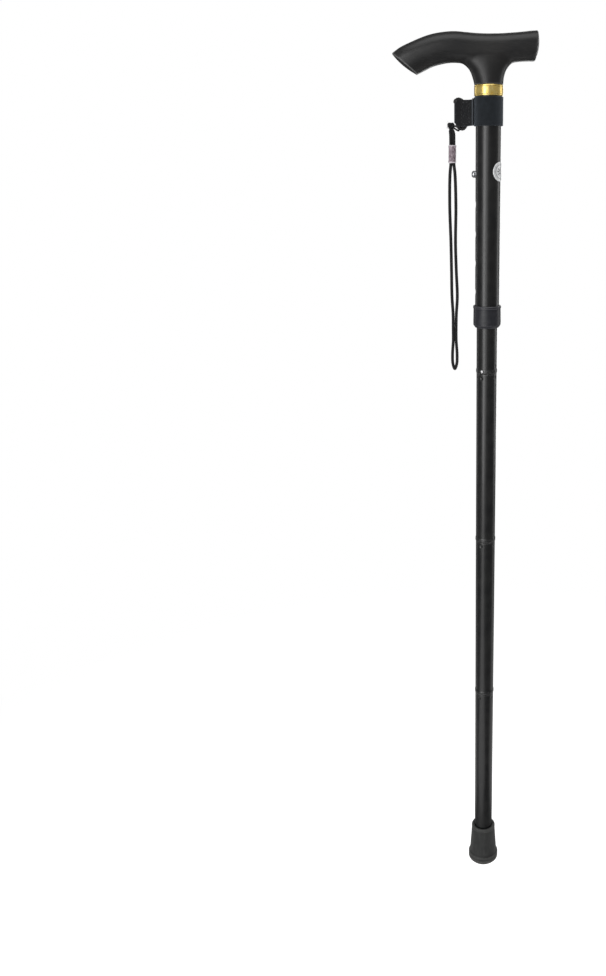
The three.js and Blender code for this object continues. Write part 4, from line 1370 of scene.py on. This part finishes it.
def floor_material():
    """Pale floor: fades to plain white far out for the camera, dim in reflections."""
    material = bpy.data.materials.new("pale_floor")
    material.use_nodes = True
    tree = material.node_tree
    tree.nodes.clear()
    ray = add_node(tree, "ShaderNodeLightPath").outputs
    noise = add_node(tree, "ShaderNodeTexNoise", {"Scale": 3.0}).outputs["Fac"]
    tones = add_node(tree, "ShaderNodeValToRGB", {0: noise})
    for element, tone in zip(tones.color_ramp.elements, (0.80, 0.84)):
        element.color = (tone, tone, tone, 1)
    diffuse = add_node(tree, "ShaderNodeBsdfDiffuse", {"Color": tones.outputs[0]}).outputs[0]
    glow = add_node(tree, "ShaderNodeEmission", {"Strength": 0.52}).outputs[0]
    near = add_node(tree, "ShaderNodeAddShader", {0: diffuse, 1: glow}).outputs[0]
    dim, white = (add_node(tree, "ShaderNodeEmission", {
        "Color": (1, 1, 1), "Strength": strength}).outputs[0] for strength in (0.06, 1.0))
    position = add_node(tree, "ShaderNodeNewGeometry").outputs["Position"]
    distance = add_node(tree, "ShaderNodeVectorMath", {0: position}, operation="LENGTH")
    far = add_node(tree, "ShaderNodeMapRange", {
        "From Min": 0.30, "From Max": 0.95, "Value": distance.outputs["Value"]},
        interpolation_type="SMOOTHSTEP").outputs[0]
    fade = add_node(tree, "ShaderNodeMath", {0: far, 1: ray["Is Camera Ray"]},
                    operation="MULTIPLY").outputs[0]
    shown = mix_shader(tree, fade, near, white)
    surface = mix_shader(tree, ray["Is Glossy Ray"], shown, dim)
    add_node(tree, "ShaderNodeOutputMaterial", {0: surface})
    return material


def add_floor():
    material = floor_material()
    bm = bmesh.new()
    bmesh.ops.create_circle(bm, cap_ends=True, radius=16.0, segments=96)
    mesh = bpy.data.meshes.new("floor")
    bm.to_mesh(mesh)
    bm.free()
    mesh.materials.append(material)
    floor = add_object("floor", mesh)
    floor.location = (0, 0, FLOOR_Z)


def set_world():
    """White to the camera, darker as light and darker still in reflections."""
    world = bpy.data.worlds.new("studio")
    scene.world = world
    world.use_nodes = True
    tree = world.node_tree
    tree.nodes.clear()
    ray = add_node(tree, "ShaderNodeLightPath").outputs
    seen, light, mirrored = (add_node(tree, "ShaderNodeBackground", inputs).outputs[0]
                             for inputs in ({"Color": (1, 1, 1), "Strength": 1.0},
                                            {"Strength": 0.62}, {"Strength": 0.17}))
    unseen = mix_shader(tree, ray["Is Glossy Ray"], light, mirrored)
    surface = mix_shader(tree, ray["Is Camera Ray"], unseen, seen)
    add_node(tree, "ShaderNodeOutputWorld", {0: surface})


# ------------------------------------------------------------------ lights and camera, metres
def polar(degrees, r, z):
    """Point at an angle from the front (-Y) towards the left (-X)."""
    angle = left_of_front(degrees)
    return (r * math.cos(angle), r * math.sin(angle), z)


def add_area(name, location, width, height, radiance):
    light = bpy.data.lights.new(name, "AREA")
    light.shape = "RECTANGLE"
    light.size = width
    light.size_y = height
    light.energy = radiance * math.pi * width * height
    ob = add_object(name, light)
    ob.location = location
    ob.visible_camera = False
    return ob


# columns: name, location, height on the Z axis aimed at, width, height, radiance
SOFTBOXES = [
    ("key_softbox", polar(35, 1.5, 0.80), 0.70, 0.52, 1.8, 2.3),
    ("key_diffuser", polar(29, 1.62, 0.80), 0.70, 1.45, 1.9, 1.0),
    ("fill_softbox", polar(-112, 1.4, 0.85), 0.60, 0.55, 1.9, 1.3),
    ("back_softbox", polar(196, 1.6, 0.85), 0.65, 0.60, 1.8, 2.2),
    ("rim_softbox", polar(128, 1.5, 0.85), 0.60, 0.30, 1.9, 1.0),
    ("top_softbox", (0.0, -0.35, 2.1), 0.8, 1.4, 1.1, 1.5)]
# boards facing up just above the floor; columns: name, degrees left of front, width, radiance
BOARDS = [("key_board", 33, 0.50, 0.75), ("fill_board", -112, 0.5, 0.45),
          ("rim_board", 128, 0.3, 0.4)]


def add_lights():
    for name, location, aim_z, width, height, radiance in SOFTBOXES:
        ob = add_area(name, location, width, height, radiance)
        ob.rotation_mode = "QUATERNION"
        direction = Vector((0, 0, aim_z)) - Vector(location)
        ob.rotation_quaternion = direction.to_track_quat("-Z", "Y")
    for name, degrees, width, radiance in BOARDS:
        ob = add_area(name, polar(degrees, 0.86, FLOOR_Z + 0.01), width, 1.3, radiance)
        ob.rotation_euler = (math.pi, 0, left_of_front(degrees) - math.pi / 2)


def add_camera():
    position = (-0.05, -0.82995, 0.73574)
    yaw, pitch, roll = -0.01791, 0.33534, -0.00651  # radians; pitch is downward
    forward = Vector((-math.sin(yaw) * math.cos(pitch), math.cos(yaw) * math.cos(pitch),
                      -math.sin(pitch)))
    level = Vector((math.cos(yaw), math.sin(yaw), 0))
    upright = level.cross(forward)
    right = level * math.cos(roll) + upright * math.sin(roll)
    up = -level * math.sin(roll) + upright * math.cos(roll)
    data = bpy.data.cameras.new("camera")
    data.sensor_fit = "AUTO"
    data.sensor_width = 36.0
    data.lens = 33.0250943
    data.shift_x = -0.150614754                     # the cane stands right of the middle
    data.clip_start, data.clip_end = 0.02, 60
    camera = add_object("camera", data)
    rows = zip(right, up, -forward, position)
    camera.matrix_world = Matrix((*rows, (0, 0, 0, 1)))
    scene.camera = camera
    scene.view_settings.view_transform = "Standard"
    scene.view_settings.look = "None"


add_handle()
add_neck_ring()
add_legs()
add_upper_tube()
add_spigots()
add_collar()
add_foot()
add_button()
add_button_spring()
add_rivet()
add_label()
add_strap_sleeve()
add_strap_tab()
add_stitching()
add_retention_elastic()
add_knot()
add_link()
add_lanyard_cords()
add_ferrule()
add_shock_cord()
dress_cad_nodes()
add_floor()
set_world()
add_lights()
add_camera()
